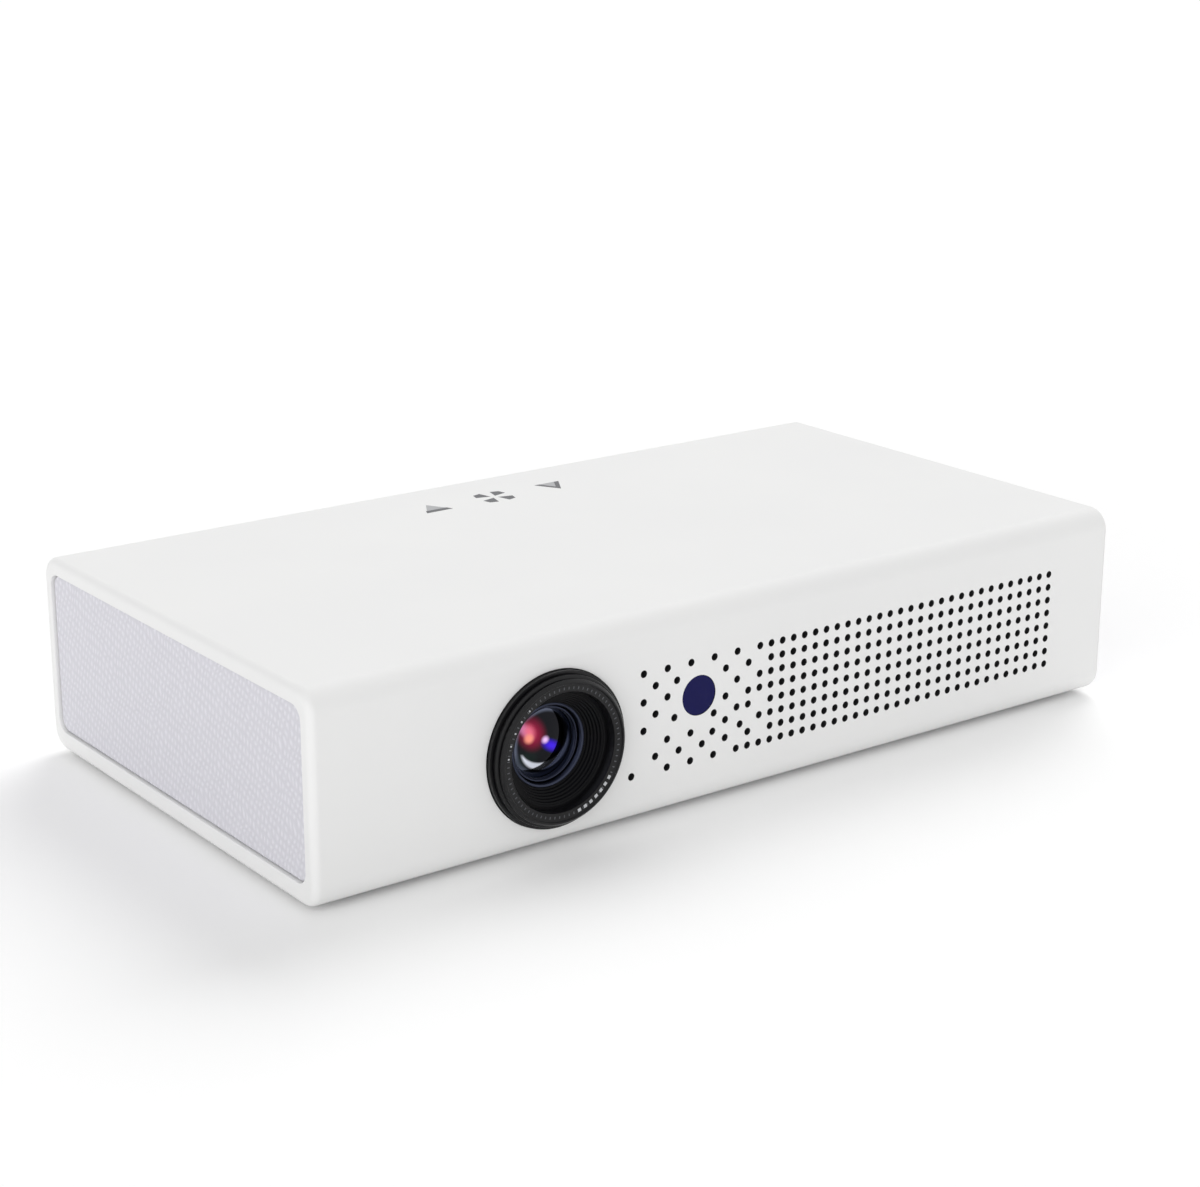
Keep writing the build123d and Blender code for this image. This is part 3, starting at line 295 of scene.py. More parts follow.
def glass_with_painted_reflections():
    """Crown glass over a dark lens, drawn as a metal that mirrors the room in painted colours:
    painted lamp reflections in red and violet, pink glints, and a pale blue crescent near its lower edge."""
    material, tree, shader = new_material(
        "crown_glass_coated",
        Roughness=0.06,
        Metallic=1.0,
        Coat_Weight=0.25,
        Coat_Roughness=0.02,
    )
    reflection_colours = None
    # Painted lamp reflections over near-black glass inside a grey-blue rim: a crimson pool at upper left
    # with pink and orange-pink glints, a dark green patch at lower left, a violet-blue streak right of the
    # middle and a pale glint above the middle.
    for colour, at, size, turn, edge in (
        ("#5A6072", (0, 0), (2, 2), 0, 0.1),
        ("#0C0D14", (0.02, 0.02), (0.93, 0.93), 0, 0.12),
        ("#12221F", (-0.55, -0.35), (0.5, 0.4), 0, 1.0),
        ("#96143E", (-0.4, 0.36), (0.52, 0.62), -25, 0.85),
        ("#C27AA8", (-0.62, 0.5), (0.2, 0.42), -38, 0.9),
        ("#F0708A", (-0.48, 0.42), (0.26, 0.34), -25, 1.0),
        ("#FF9A84", (-0.5, 0.24), (0.2, 0.2), 0, 0.8),
        ("#4418F4", (0.22, -0.1), (0.48, 0.22), 28, 0.9),
        ("#F6C8FF", (0.0, 0.12), (0.17, 0.15), 0, 0.9),
    ):
        cover = painted_glint_oval(tree, at, size, turn, edge)
        layer = blend(tree, cover, "#0C0D14", colour)
        if reflection_colours:
            tree.links.new(reflection_colours, layer.inputs[6])
        reflection_colours = layer.outputs[2]
    # A pale blue crescent of painted lamp reflection along the lower edge of the glass.
    low = painted_glint_oval(tree, (0.08, -0.08), (0.86, 0.72), -8, 0.12)
    bite = painted_glint_oval(tree, (0.02, 0.14), (0.86, 0.72), -6, 0.1)
    painted_lamp_crescent = add(tree, "ShaderNodeMath", [(0, low), (1, bite)], operation="SUBTRACT", use_clamp=True)
    layer = blend(tree, painted_lamp_crescent.outputs[0], second="#EEF2FF")
    tree.links.new(reflection_colours, layer.inputs[6])
    tree.links.new(layer.outputs[2], shader.inputs["Base Color"])
    return material


def clear_glass():
    """Uncoated moulded glass."""
    material, _, _ = new_material(
        "optical_glass_clear",
        Roughness=0.02,
        IOR=1.52,
        Transmission_Weight=1.0,
        Base_Color=linear("#EAF2FF"),
    )
    return material


def blued_lens():
    """The pickup's small moulded lens: its coating mirrors blue."""
    material, _, _ = new_material(
        "acrylic_lens_coated_blue",
        Metallic=0.8,
        Roughness=0.08,
        Base_Color=linear("#2A3A6E"),
    )
    return material


def blued_ring():
    """Turned aluminium rings in the lens, anodised blue grey: they catch thin bright lines."""
    return metal("aluminium_anodised_blue_grey", "#3E4252", "#343846", (0.22, 0.34), 0.4)


def window_acrylic():
    """Deep blue acrylic that passes infrared: glossy, nearly black."""
    material, _, _ = new_material(
        "acrylic_infrared_blue",
        IOR=1.49,
        Roughness=0.15,
        Specular_IOR_Level=0.15,
        Base_Color=chosen("window"),
    )
    return material


def ink(name, colour, other):
    """Pad-printed ink: flat, with slightly uneven cover."""
    material, tree, shader = new_material(name, Roughness=0.5)
    mottle(tree, shader, colour, other, 1.5)
    return material


def mark_ink(name="engraving_paint_grey", colour="#3C3D40", other="#5C5E63"):
    """Paint rubbed into the engraved focus scale, a little worn."""
    material, tree, shader = new_material(name, Roughness=0.5)
    mottle(tree, shader, colour, other, 1.0)
    return material


def rubber():
    """Moulded silicone rubber: dull and slightly uneven."""
    material, tree, shader = new_material("silicone_rubber_black", IOR=1.42)
    mottle(tree, shader, "#1B1B1C", "#232324", 6.0, roughness=(0.7, 0.82))
    grain(tree, shader, 0.5, 0.02)
    return material


def metal(name, colour, other, roughness, scale_mm=3.0, stretch=(1, 1, 1), depth_mm=0.002):
    """A bare metal with the marks of how it was worked."""
    material, tree, shader = new_material(name, Metallic=1.0)
    mottle(tree, shader, colour, other, 14.0, roughness=roughness)
    grain(tree, shader, scale_mm, depth_mm, stretch)
    return material


def zinc_steel():
    """Zinc-plated sheet: rolling marks run along it."""
    return metal("steel_zinc_plated", "#B6B7B9", "#A9ABAE", (0.28, 0.42), 1.2, (1, 0.04, 1))


def cast_aluminium():
    """Die-cast aluminium: grainy and dull."""
    return metal("aluminium_die_cast", "#A6A8AA", "#9A9C9F", (0.45, 0.6), 0.8, (1, 1, 1), 0.02)


def copper():
    """Drawn copper: warm, with a slight tarnish."""
    return metal("copper_drawn", "#C98A5E", "#B87548", (0.22, 0.38), 1.5, (0.1, 1, 1))


def brass():
    """Turned brass."""
    return metal("brass_turned", "#C9A96A", "#B99858", (0.2, 0.32), 0.5, (1, 1, 0.1))


def circuit_board():
    """Epoxy board under green solder mask: tracks show as a fine pattern."""
    material, tree, shader = new_material("circuit_board_green", Roughness=0.35)
    cells = add(
        tree,
        "ShaderNodeTexVoronoi",
        [("Vector", place(tree, 2.5))],
        Scale=1.0,
        distance="MANHATTAN",
    )
    mix = blend(tree, cells.outputs["Distance"], "#1E5A38", "#123A25")
    tree.links.new(mix.outputs[2], shader.inputs["Base Color"])
    return material


# ------------------------------------------------------------------ mesh tools


def link_mesh(name, mesh):
    """A mesh as an object in the scene."""
    made = bpy.data.objects.new(name, mesh)
    bpy.context.scene.collection.objects.link(made)
    return made


def mesh_object(name, vertices, faces):
    """A mesh object in the scene, its faces turned outwards."""
    mesh = bpy.data.meshes.new(name)
    mesh.from_pydata(vertices, [], faces)
    work = bmesh.new()
    work.from_mesh(mesh)
    bmesh.ops.remove_doubles(work, verts=work.verts, dist=1e-6)
    bmesh.ops.recalc_face_normals(work, faces=work.faces)
    work.to_mesh(mesh)
    work.free()
    return link_mesh(name, mesh)


def join(name, objects):
    """Several objects as one."""
    work = bmesh.new()
    for item in objects:
        work.from_mesh(item.data)
        bpy.data.objects.remove(item)
    mesh = bpy.data.meshes.new(name)
    work.to_mesh(mesh)
    work.free()
    return link_mesh(name, mesh)


def loft(name, rings, closed=False):
    """Rings of as many points each, joined in order; the ends are capped unless the last meets the first."""
    count = len(rings[0])
    vertices = [point for ring in rings for point in ring]
    faces = []
    for row in range(len(rings) if closed else len(rings) - 1):
        here, there = row * count, (row + 1) % len(rings) * count
        for i in range(count):
            j = (i + 1) % count
            faces.append((here + i, here + j, there + j, there + i))
    if not closed:
        faces.append(tuple(range(count)))
        faces.append(tuple(range(len(vertices) - count, len(vertices))))
    return mesh_object(name, vertices, faces)


def rounded(width, height, radius, steps=10):
    """Points round a rectangle with rounded corners, about its middle."""
    points = []
    for corner, (side, up) in enumerate(((1, 1), (-1, 1), (-1, -1), (1, -1))):
        for step in range(steps + 1):
            angle = math.radians(90) * (corner + step / steps)
            points.append((
                side * (width / 2 - radius) + radius * math.cos(angle),
                up * (height / 2 - radius) + radius * math.sin(angle),
            ))
    return points


def circle(radius, sides):
    """Points round a circle."""
    return [
        (radius * math.cos(2 * math.pi * i / sides), radius * math.sin(2 * math.pi * i / sides))
        for i in range(sides)
    ]


def upright(points, y, x=0.0, z=0.0):
    """Flat points stood across the front, at y."""
    return [(x + u, y, z + v) for u, v in points]


def lathe(name, outline, centre=(LENS_X, LENS_Z), sides=96, upright_axis=False):
    """A closed outline of (radius, place along the axis) in mm, spun round an axis along Y or Z."""
    rings = []
    for i in range(sides):
        angle = 2 * math.pi * i / sides
        c, s = math.cos(angle) * MM, math.sin(angle) * MM
        if upright_axis:
            rings.append([(centre[0] + r * c, centre[1] + r * s, along * MM) for r, along in outline])
        else:
            rings.append([(centre[0] + r * c, along * MM, centre[1] + r * s) for r, along in outline])
    return loft(name, rings, closed=True)


def evaluated(piece):
    """The piece with its modifiers made real."""
    graph = bpy.context.evaluated_depsgraph_get()
    mesh = bpy.data.meshes.new_from_object(piece.evaluated_get(graph))
    piece.modifiers.clear()
    piece.data = mesh
    return piece


def smooth(piece, angle=32.0):
    """Smooth shading that stays crisp at corners, with flat faces kept flat."""
    piece.data.shade_smooth()
    piece.data.set_sharp_from_angle(angle=math.radians(angle))
    piece.modifiers.new("flat_faces", "WEIGHTED_NORMAL").keep_sharp = True
    return piece


def bevelled(piece, width_mm):
    """Softened edges."""
    bevel = piece.modifiers.new("soft_edges", "BEVEL")
    bevel.width = width_mm * MM
    bevel.segments = 2
    bevel.limit_method = "ANGLE"
    bevel.angle_limit = math.radians(40)
    bevel.harden_normals = False
    return evaluated(piece)


def cut(piece, cutter):
    """The piece without the cutter."""
    boolean = piece.modifiers.new("cut", "BOOLEAN")
    boolean.operation = "DIFFERENCE"
    boolean.solver = "EXACT"
    boolean.object = cutter
    evaluated(piece)
    bpy.data.objects.remove(cutter)
    return piece


def dress(piece, material, body, *nodes, slot=None):
    """Gives a finished piece its material, body and the nodes it stands for; the slot is not used."""
    if material:
        piece.data.materials.clear()
        piece.data.materials.append(material)
    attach(piece, body)
    if nodes:
        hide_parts(*nodes)
    return piece


# ------------------------------------------------------------------ sizes a user would change


class ShellSizes(bpy.types.PropertyGroup):
    edge_radius: FloatProperty(name="Long edges", default=6.4, description="Radius of the long edges, mm")
    end_radius: FloatProperty(name="End edges", default=2.2, description="Radius round both ends, mm")
    wall: FloatProperty(name="Wall", default=2.4, description="Wall thickness, mm")
    vent_diameter: FloatProperty(name="Vent holes", default=2.1, description="Diameter of a vent hole, mm")
    vent_pitch: FloatProperty(name="Vent pitch", default=4.0, description="From hole to hole, mm")
    vent_columns: IntProperty(name="Vent columns", default=28, description="Columns of the regular field")
    vent_rows: IntProperty(name="Vent rows", default=8, description="Rows of the regular field")


def colour_property(name, hex_colour, description):
    """A colour that the user can change."""
    return FloatVectorProperty(
        name=name, default=linear(hex_colour), size=4, subtype="COLOR", min=0, max=1, description=description
    )


class PartColours(bpy.types.PropertyGroup):
    shell: colour_property("Shell", "#EDEDEC", "Colour of the shell, its cover and the tray's front")
    mesh: colour_property("Speaker meshes", "#D2D1D8", "Colour of the woven meshes between their wires")
    lens_ring: colour_property("Focus ring", "#0C0C0E", "Colour of the lens's barrel and focus ring")
    window: colour_property("Sensor window", "#07074A", "Colour of the infrared window")
    marks: colour_property("Touch marks", "#56575A", "Colour of the marks printed on the top")


class StageSizes(bpy.types.PropertyGroup):
    camera_place: FloatVectorProperty(
        name="Camera",
        default=(-0.4251, -0.5698, 0.26305),
        subtype="TRANSLATION",
        description="Where the camera stands",
    )
    camera_turn: FloatVectorProperty(
        name="Camera turn",
        default=(math.radians(72.616), math.radians(-0.139), math.radians(-36.743)),
        subtype="EULER",
        description="How the camera is turned",
    )
    camera_lens: FloatProperty(name="Focal length", default=76.23, description="Focal length, mm")
    sky_light: FloatProperty(name="Sky", default=0.56, description="Even light from all round")
    main_light: FloatProperty(
        name="Main light", default=1.40, description="Softbox from the back right, W/m2"
    )
    fill_light: FloatProperty(
        name="Fill light", default=1.45, description="Low light from the front left, W/m2"
    )


# ------------------------------------------------------------------ shell

VENT_FIRST = (6.2, 43.2)
SCATTER = {
    0: (-11, -9, -7, -5, -3, -1),
    1: (-10, -8.2, -4, -2),
    2: (-11, -9, -3, -1),
    3: (-10, -4, -2, -1),
    3.6: (-8.4,),
    4: (-11, -5, -3, -2),
    4.7: (-4,),
    5: (-9, -7, -1),
    5.3: (-5.1, -2.7),
    6: (-10, -8, -6, -4, -2),
    7: (-12, -9, -7, -5, -3, -2, -1),
}


def begin_tree(name, **inputs):
    """A geometry node tree and its input node; inputs name its sockets and give their kinds."""
    tree = bpy.data.node_groups.new(name, "GeometryNodeTree")
    for label, kind in {"Geometry": "Geometry", **inputs, "Material": "Material"}.items():
        tree.interface.new_socket(
            label.replace("_", " "), in_out="INPUT", socket_type=f"NodeSocket{kind}"
        )
    tree.interface.new_socket("Geometry", in_out="OUTPUT", socket_type="NodeSocketGeometry")
    return tree, add(tree, "NodeGroupInput")


def end_tree(tree, start, geometry):
    """Makes the instances real, gives them the material and ends the tree."""
    whole = add(tree, "GeometryNodeRealizeInstances", [("Geometry", geometry)])
    painted = add(
        tree,
        "GeometryNodeSetMaterial",
        [("Geometry", whole.outputs[0]), ("Material", start.outputs["Material"])],
    )
    end = add(tree, "NodeGroupOutput")
    tree.links.new(painted.outputs[0], end.inputs[0])
    return tree


def vent_tree():
    """Drills a field of vent holes, and one hole at each point of another mesh."""
    tree, start = begin_tree(
        "vent_field",
        Drill="Object",
        Scatter="Object",
        First_hole="Vector",
        Pitch="Float",
        Columns="Int",
        Rows="Int",
    )

    spans = [
        maths(tree, "MULTIPLY", maths(tree, "SUBTRACT", start.outputs[count], 1.0), start.outputs["Pitch"])
        for count in ("Columns", "Rows")
    ]
    grid = add(
        tree,
        "GeometryNodeMeshGrid",
        [
            ("Size X", spans[0]),
            ("Size Y", spans[1]),
            ("Vertices X", start.outputs["Columns"]),
            ("Vertices Y", start.outputs["Rows"]),
        ],
    )
    middle = add(
        tree,
        "ShaderNodeCombineXYZ",
        [("X", maths(tree, "MULTIPLY", spans[0], 0.5)), ("Z", maths(tree, "MULTIPLY", spans[1], -0.5))],
    )
    centre = add(
        tree,
        "ShaderNodeVectorMath",
        [(0, start.outputs["First hole"]), (1, middle.outputs[0])],
        operation="ADD",
    )
    stood = add(
        tree,
        "GeometryNodeTransform",
        [("Geometry", grid.outputs["Mesh"]), ("Translation", centre.outputs[0])],
        Rotation=(math.radians(90), 0, 0),
    )
    loose = add(tree, "GeometryNodeObjectInfo", [("Object", start.outputs["Scatter"])])
    drill = add(tree, "GeometryNodeObjectInfo", [("Object", start.outputs["Drill"])])
    points = add(tree, "GeometryNodeJoinGeometry")
    tree.links.new(stood.outputs[0], points.inputs[0])
    tree.links.new(loose.outputs["Geometry"], points.inputs[0])
    holes = add(
        tree,
        "GeometryNodeInstanceOnPoints",
        [("Points", points.outputs[0]), ("Instance", drill.outputs["Geometry"])],
    )
    real = add(tree, "GeometryNodeRealizeInstances", [("Geometry", holes.outputs[0])])
    drilled = add(
        tree,
        "GeometryNodeMeshBoolean",
        [("Mesh 1", start.outputs["Geometry"]), ("Mesh 2", real.outputs[0])],
        operation="DIFFERENCE",
        solver="EXACT",
    )
    return end_tree(tree, start, drilled.outputs[0])


def run_tree(piece, tree, **values):
    """Runs a node tree on a piece and keeps the plain mesh."""
    modifier = piece.modifiers.new(tree.name, "NODES")
    modifier.node_group = tree
    ids = {s.name: s.identifier for s in tree.interface.items_tree if s.in_out == "INPUT"}
    for name, value in values.items():
        modifier[ids[name.replace("_", " ")]] = value
    piece.update_tag()
    bpy.context.view_layer.update()
    return evaluated(piece)


def shell_blank(sizes):
    """The sleeve with its rounded ends, mesh seats and sound openings, before it is cut."""
    wall, edge, end = sizes.wall, sizes.edge_radius, sizes.end_radius
    low, high = SHELL_LOW / MM, SHELL_HIGH / MM
    depth, height = high.y - low.y, high.z - low.z
    middle_z = (low.z + high.z) / 2
    floor, ceiling = low.z + 3.0, high.z - wall
    grille_low, grille_high = (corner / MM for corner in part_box("speaker_grille_left"))
    seat = (grille_high.y - grille_low.y + 0.5, grille_high.z - grille_low.z + 0.5)
    seat_z = (grille_low.z + grille_high.z) / 2
    recess = grille_high.x - low.x
    mesh_face = grille_low.x - low.x
    baffle = recess + 2.0

    def ring(x, width, tall, radius, z):
        return [(x * MM, MIDDLE_Y + u * MM, (z + v) * MM) for u, v in rounded(width, tall, radius)]

    def half(side):
        """Rings from the cavity's end out over one end of the sleeve, on the left (1) or right (-1)."""
        x0 = low.x if side > 0 else high.x
        room = ((floor + ceiling) / 2, depth - 2 * wall, ceiling - floor)
        rings = [
            ring(x0 + side * baffle, room[1], room[2], edge - wall, room[0]),
            ring(x0 + side * baffle, 44, 26, 1.0, room[0]),
            ring(x0 + side * recess, 44, 26, 1.0, room[0]),
            ring(x0 + side * recess, *seat, 4.0, seat_z),
            ring(x0 + side * (mesh_face + 0.1), *seat, 4.0, seat_z),
            ring(x0 + side * 0.25, *seat, 4.0, seat_z),
            ring(x0 + side * 0.07, seat[0] + 0.15, seat[1] + 0.15, 4.07, seat_z),
            ring(x0, seat[0] + 0.5, seat[1] + 0.5, 4.25, seat_z),
        ]
        for step in range(9):
            angle = math.radians(90 * step / 8)
            inset = end * (1 - math.sin(angle))
            rings.append(
                ring(
                    x0 + side * end * (1 - math.cos(angle)),
                    depth - 2 * inset,
                    height - 2 * inset,
                    edge - inset,
                    middle_z,
                )
            )
        return rings

    return loft("shell", half(1) + half(-1)[::-1], closed=True)


def prism(points, low, high, lift):
    """A solid between two flat outlines, given as a function of height."""
    return loft("prism", [lift(points, low), lift(points, high)])


def flat(points, z, x=0.0, y=0.0):
    """Flat points laid level at z."""
    return [(x + u, y + v, z) for u, v in points]


def shell_cutters():
    """Solids for the cover seat, the base opening, and every window, socket and slot."""
    low, high = SHELL_LOW, SHELL_HIGH
    seat_low, seat_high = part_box("bottom_cover")
    gap, ledge = 0.25 * MM, 2.5 * MM
    width, depth = seat_high.x - seat_low.x + 2 * gap, seat_high.y - seat_low.y + 2 * gap
    seat = prism(
        rounded(width, depth, 8 * MM), low.z - MM, low.z + 1.6 * MM, lambda p, z: flat(p, z, 0, MIDDLE_Y)
    )
    opening = prism(
        rounded(width - 2 * ledge, depth - 2 * ledge, 5.5 * MM),
        low.z + MM,
        low.z + 4.5 * MM,
        lambda p, z: flat(p, z, 0, MIDDLE_Y),
    )

    def through(node, grow_mm, span, round_hole=False, corner_mm=0.3):
        """A hole round a node's outline, across the front or back wall."""
        box_low, box_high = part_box(node)
        x, z = (box_low.x + box_high.x) / 2, (box_low.z + box_high.z) / 2
        wide = box_high.x - box_low.x + 2 * grow_mm * MM
        tall = box_high.z - box_low.z + 2 * grow_mm * MM
        outline = circle(wide / 2, 48) if round_hole else rounded(wide, tall, corner_mm * MM, 3)
        return prism(outline, span[0], span[1], lambda p, y: upright(p, y, x, z))

    back_span = (high.y - 2.9 * MM, high.y + MM)
    front_span = (low.y - MM, low.y + 2.9 * MM)
    lens = prism(
        circle(21.65 * MM, 96), low.y - MM, low.y + 4.4 * MM, lambda p, y: upright(p, y, LENS_X, LENS_Z)
    )
    holes = [
        lens,
        through("sensor_window", 0.1, front_span, True),
        through("tray_bezel", 0.3, (high.y - 4.3 * MM, high.y + MM)),
        through("hdmi_socket", 0.3, back_span),
    ]
    sockets_low, sockets_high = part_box("usb_sockets")
    wide = 14.4 * MM
    tall = sockets_high.z - sockets_low.z
    for x in (sockets_low.x + wide / 2, sockets_high.x - wide / 2):
        holes.append(
            prism(
                rounded(wide + 0.6 * MM, tall + 0.6 * MM, 0.3 * MM, 3),
                *back_span,
                lambda p, y, x=x: upright(p, y, x, (sockets_low.z + sockets_high.z) / 2),
            )
        )
    board_top = sockets_low.z
    audio_x = sum(corner.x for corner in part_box("audio_jack")) / 2
    power_x = sum(corner.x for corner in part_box("power_socket")) / 2
    key_low, key_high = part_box("power_button")
    for x, z, radius in (
        (audio_x, board_top + 3.4 * MM, 3.3 * MM),
        (power_x, board_top + 5.2 * MM, 4.7 * MM),
        ((key_low.x + key_high.x) / 2, (key_low.z + key_high.z) / 2, 4.3 * MM),
    ):
        holes.append(prism(circle(radius, 48), *back_span, lambda p, y, x=x, z=z: upright(p, y, x, z)))
    drive_low, drive_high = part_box("drive_cover")
    slot_z = (drive_high.z + high.z - 2.4 * MM) / 2 + 3 * MM
    count, pitch = 14, 7.0 * MM
    for i in range(count):
        x = (drive_low.x + drive_high.x) / 2 + (i - (count - 1) / 2) * pitch
        holes.append(
            prism(
                rounded(2.4 * MM, 14 * MM, 1.15 * MM, 4),
                *back_span,
                lambda p, y, x=x: upright(p, y, x, slot_z),
            )
        )
    return seat, opening, join("holes", holes)


def wall_depth(point):
    """How far a point lies inside the sleeve's four long sides."""
    across = min(point.y - SHELL_LOW.y, SHELL_HIGH.y - point.y)
    return min(across, point.z - SHELL_LOW.z, SHELL_HIGH.z - point.z)


def takes_painted_shade(point, sizes):
    """Whether a point of the shell is on the wall of its room, or in a hole through its front or back; these
    take black as painted shade in the holes.
    """
    skin, wall, edge = 0.05 * MM, sizes.wall * MM, sizes.edge_radius * MM
    across = min(point.y - SHELL_LOW.y, SHELL_HIGH.y - point.y)
    up = min(point.z - SHELL_LOW.z, SHELL_HIGH.z - point.z)
    in_room = wall_depth(point) > wall - skin
    in_hole = across > 6 * skin and up > edge
    return in_room or in_hole


class PROJECTOR_OT_shell(bpy.types.Operator):
    """Makes the one-piece shell, drilled and cut."""

    bl_idname = "projector.shell"
    bl_label = "Shell"

    def execute(self, context):
        sizes = context.scene.shell_sizes
        white = white_abs()
        shell = shell_blank(sizes)
        seat, opening, holes = shell_cutters()
        for cutter in (seat, opening, holes):
            cut(shell, cutter)
        radius = sizes.vent_diameter / 2 * MM
        drill = loft(
            "drill",
            [
                upright(circle(radius + 0.22 * MM, 20), -0.12 * MM),
                upright(circle(radius, 20), 0.1 * MM),
                upright(circle(radius, 20), 3.0 * MM),
            ],
        )
        scatter = mesh_object(
            "scatter",
            [
                (
                    (VENT_FIRST[0] + sizes.vent_pitch * c) * MM,
                    FRONT,
                    (VENT_FIRST[1] - sizes.vent_pitch * row) * MM,
                )
                for row, columns in SCATTER.items()
                for c in columns
            ],
            [],
        )
        run_tree(
            shell,
            vent_tree(),
            Drill=drill,
            Scatter=scatter,
            First_hole=(VENT_FIRST[0] * MM, FRONT, VENT_FIRST[1] * MM),
            Pitch=sizes.vent_pitch * MM,
            Columns=sizes.vent_columns,
            Rows=sizes.vent_rows,
            Material=white,
        )
        for tool in (drill, scatter):
            bpy.data.objects.remove(tool)
        shell.data.materials.clear()
        for finish in (white, painted_shade_black()):
            shell.data.materials.append(finish)
        # The room's walls and the holes' walls take the black painted shade, so that the holes look dark.
        room_reach = -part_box("speaker_grille_left")[1].x
        for face in shell.data.polygons:
            in_room = abs(face.center.x) < room_reach and takes_painted_shade(face.center, sizes)
            face.material_index = int(in_room)
        smooth(shell)
        dress(shell, None, "chassis", "upper_housing", slot="white_plastic")
        return {"FINISHED"}


# ------------------------------------------------------------------ speaker meshes


class PROJECTOR_OT_grilles(bpy.types.Operator):
    """Makes the woven meshes in both ends."""

    bl_idname = "projector.grilles"
    bl_label = "Speaker meshes"

    def execute(self, context):
        cloth = mesh_cloth()
        for side in ("left", "right"):
            low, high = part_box(f"speaker_grille_{side}")
            y, z = (low.y + high.y) / 2, (low.z + high.z) / 2
            wide, tall = high.y - low.y, high.z - low.z
            outer, inner = (low.x, high.x) if side == "left" else (high.x, low.x)
            step = 0.5 * MM * (1 if side == "left" else -1)

            def ring(x, inset):
                points = rounded(wide - 2 * inset, tall - 2 * inset, 3.75 * MM - inset)
                return [(x, y + u, z + v) for u, v in points]

            piece = loft(
                f"speaker_mesh_{side}",
                [
                    ring(inner, 0.1 * MM),
                    ring(outer + step * 1.2, 0.1 * MM),
                    ring(outer + step * 0.4, 0.25 * MM),
                    ring(outer, 0.7 * MM),
                ],
            )
            smooth(piece)
            dress(piece, cloth, "chassis", f"speaker_grille_{side}", slot="grille_mesh")
        return {"FINISHED"}


# ------------------------------------------------------------------ projection lens


class PROJECTOR_OT_lens(bpy.types.Operator):
    """Makes the barrel's rim, the focus ring, the lens cell and the glass."""

    bl_idname = "projector.lens"
    bl_label = "Projection lens"

    def execute(self, context):
        anodised, hood, glass = anodised_black(), hood_black(), glass_with_painted_reflections()
        ring_front, ring_back = RING_LOW.y / MM, RING_HIGH.y / MM
        # Radius, and depth behind the ring's front face.
        profile = [
            (16.2, 1.1), (16.5, 0.6), (18.5, 0.5), (18.7, 0.0), (19.1, 0.0),
            (19.7, 0.6), (19.7, 1.2), (19.2, 1.35), (19.2, 1.6), (20.2, 1.75),
            (20.5, 2.0), (20.5, 2.8), (18.83, 2.8),
        ]
        outline = [(radius, ring_front + depth) for radius, depth in profile]
        ring = lathe("focus_ring_turned", [*outline, (18.83, ring_back), (16.2, ring_back)])
        bevelled(ring, 0.1)
        smooth(ring)
        dress(ring, anodised, "focus", "focus_ring", slot="black_metal")
        scale = focus_scale((ring_front + 0.48) * MM)
        dress(scale, None, "focus")

        hood_points = [(15.3, -72.28), (15.0, -72.1)]
        for i in range(6):
            depth = -71.9 + i * 0.72
            reach = 14.9 - i * 0.58
            hood_points += [(reach, depth), (reach - 0.42, depth + 0.12), (reach - 0.5, depth + 0.6)]
        hood_points += [(11.7, -67.5), (12.4, -67.2), (15.3, -71.6)]
        lining = lathe("hood_lining", hood_points)
        smooth(lining, 25)
        dress(lining, hood, "cell")
        rings = []
        retaining = [(11.75, -67.3), (11.6, -68.2), (11.2, -68.35)]
        retaining += [(10.7, -68.1), (10.5, -66.6), (11.6, -66.6)]
        seating = [(10.5, -66.4), (10.25, -66.9), (9.85, -66.9), (9.62, -66.3), (9.6, -65.2), (10.4, -66.1)]
        for name, points in (("retaining_ring", retaining), ("glass_seat_ring", seating)):
            rings.append(lathe(name, points))
        rings = join("lens_rings", rings)
        bevelled(rings, 0.1)
        smooth(rings)
        dress(rings, blued_ring(), "cell")

        dome = [(9.45, GLASS_BACK_MM), (9.45, -64.6)]
        crown = 1.7
        for i in range(13):
            part = 1 - i / 12
            dome.append((max(GLASS_VIEW_MM * part, AXIS), -65.15 - crown * (1 - part**2)))
        dome.append((AXIS, GLASS_BACK_MM))
        front = lathe("front_glass_dome", dome)
        smooth(front, 50)
        dress(front, glass, "cell", "front_glass", slot="glass")
        finish_node("lens_barrel", anodised)
        finish_node("lens_cell", hood)
        finish_node("rear_glass", clear_glass())
        return {"FINISHED"}


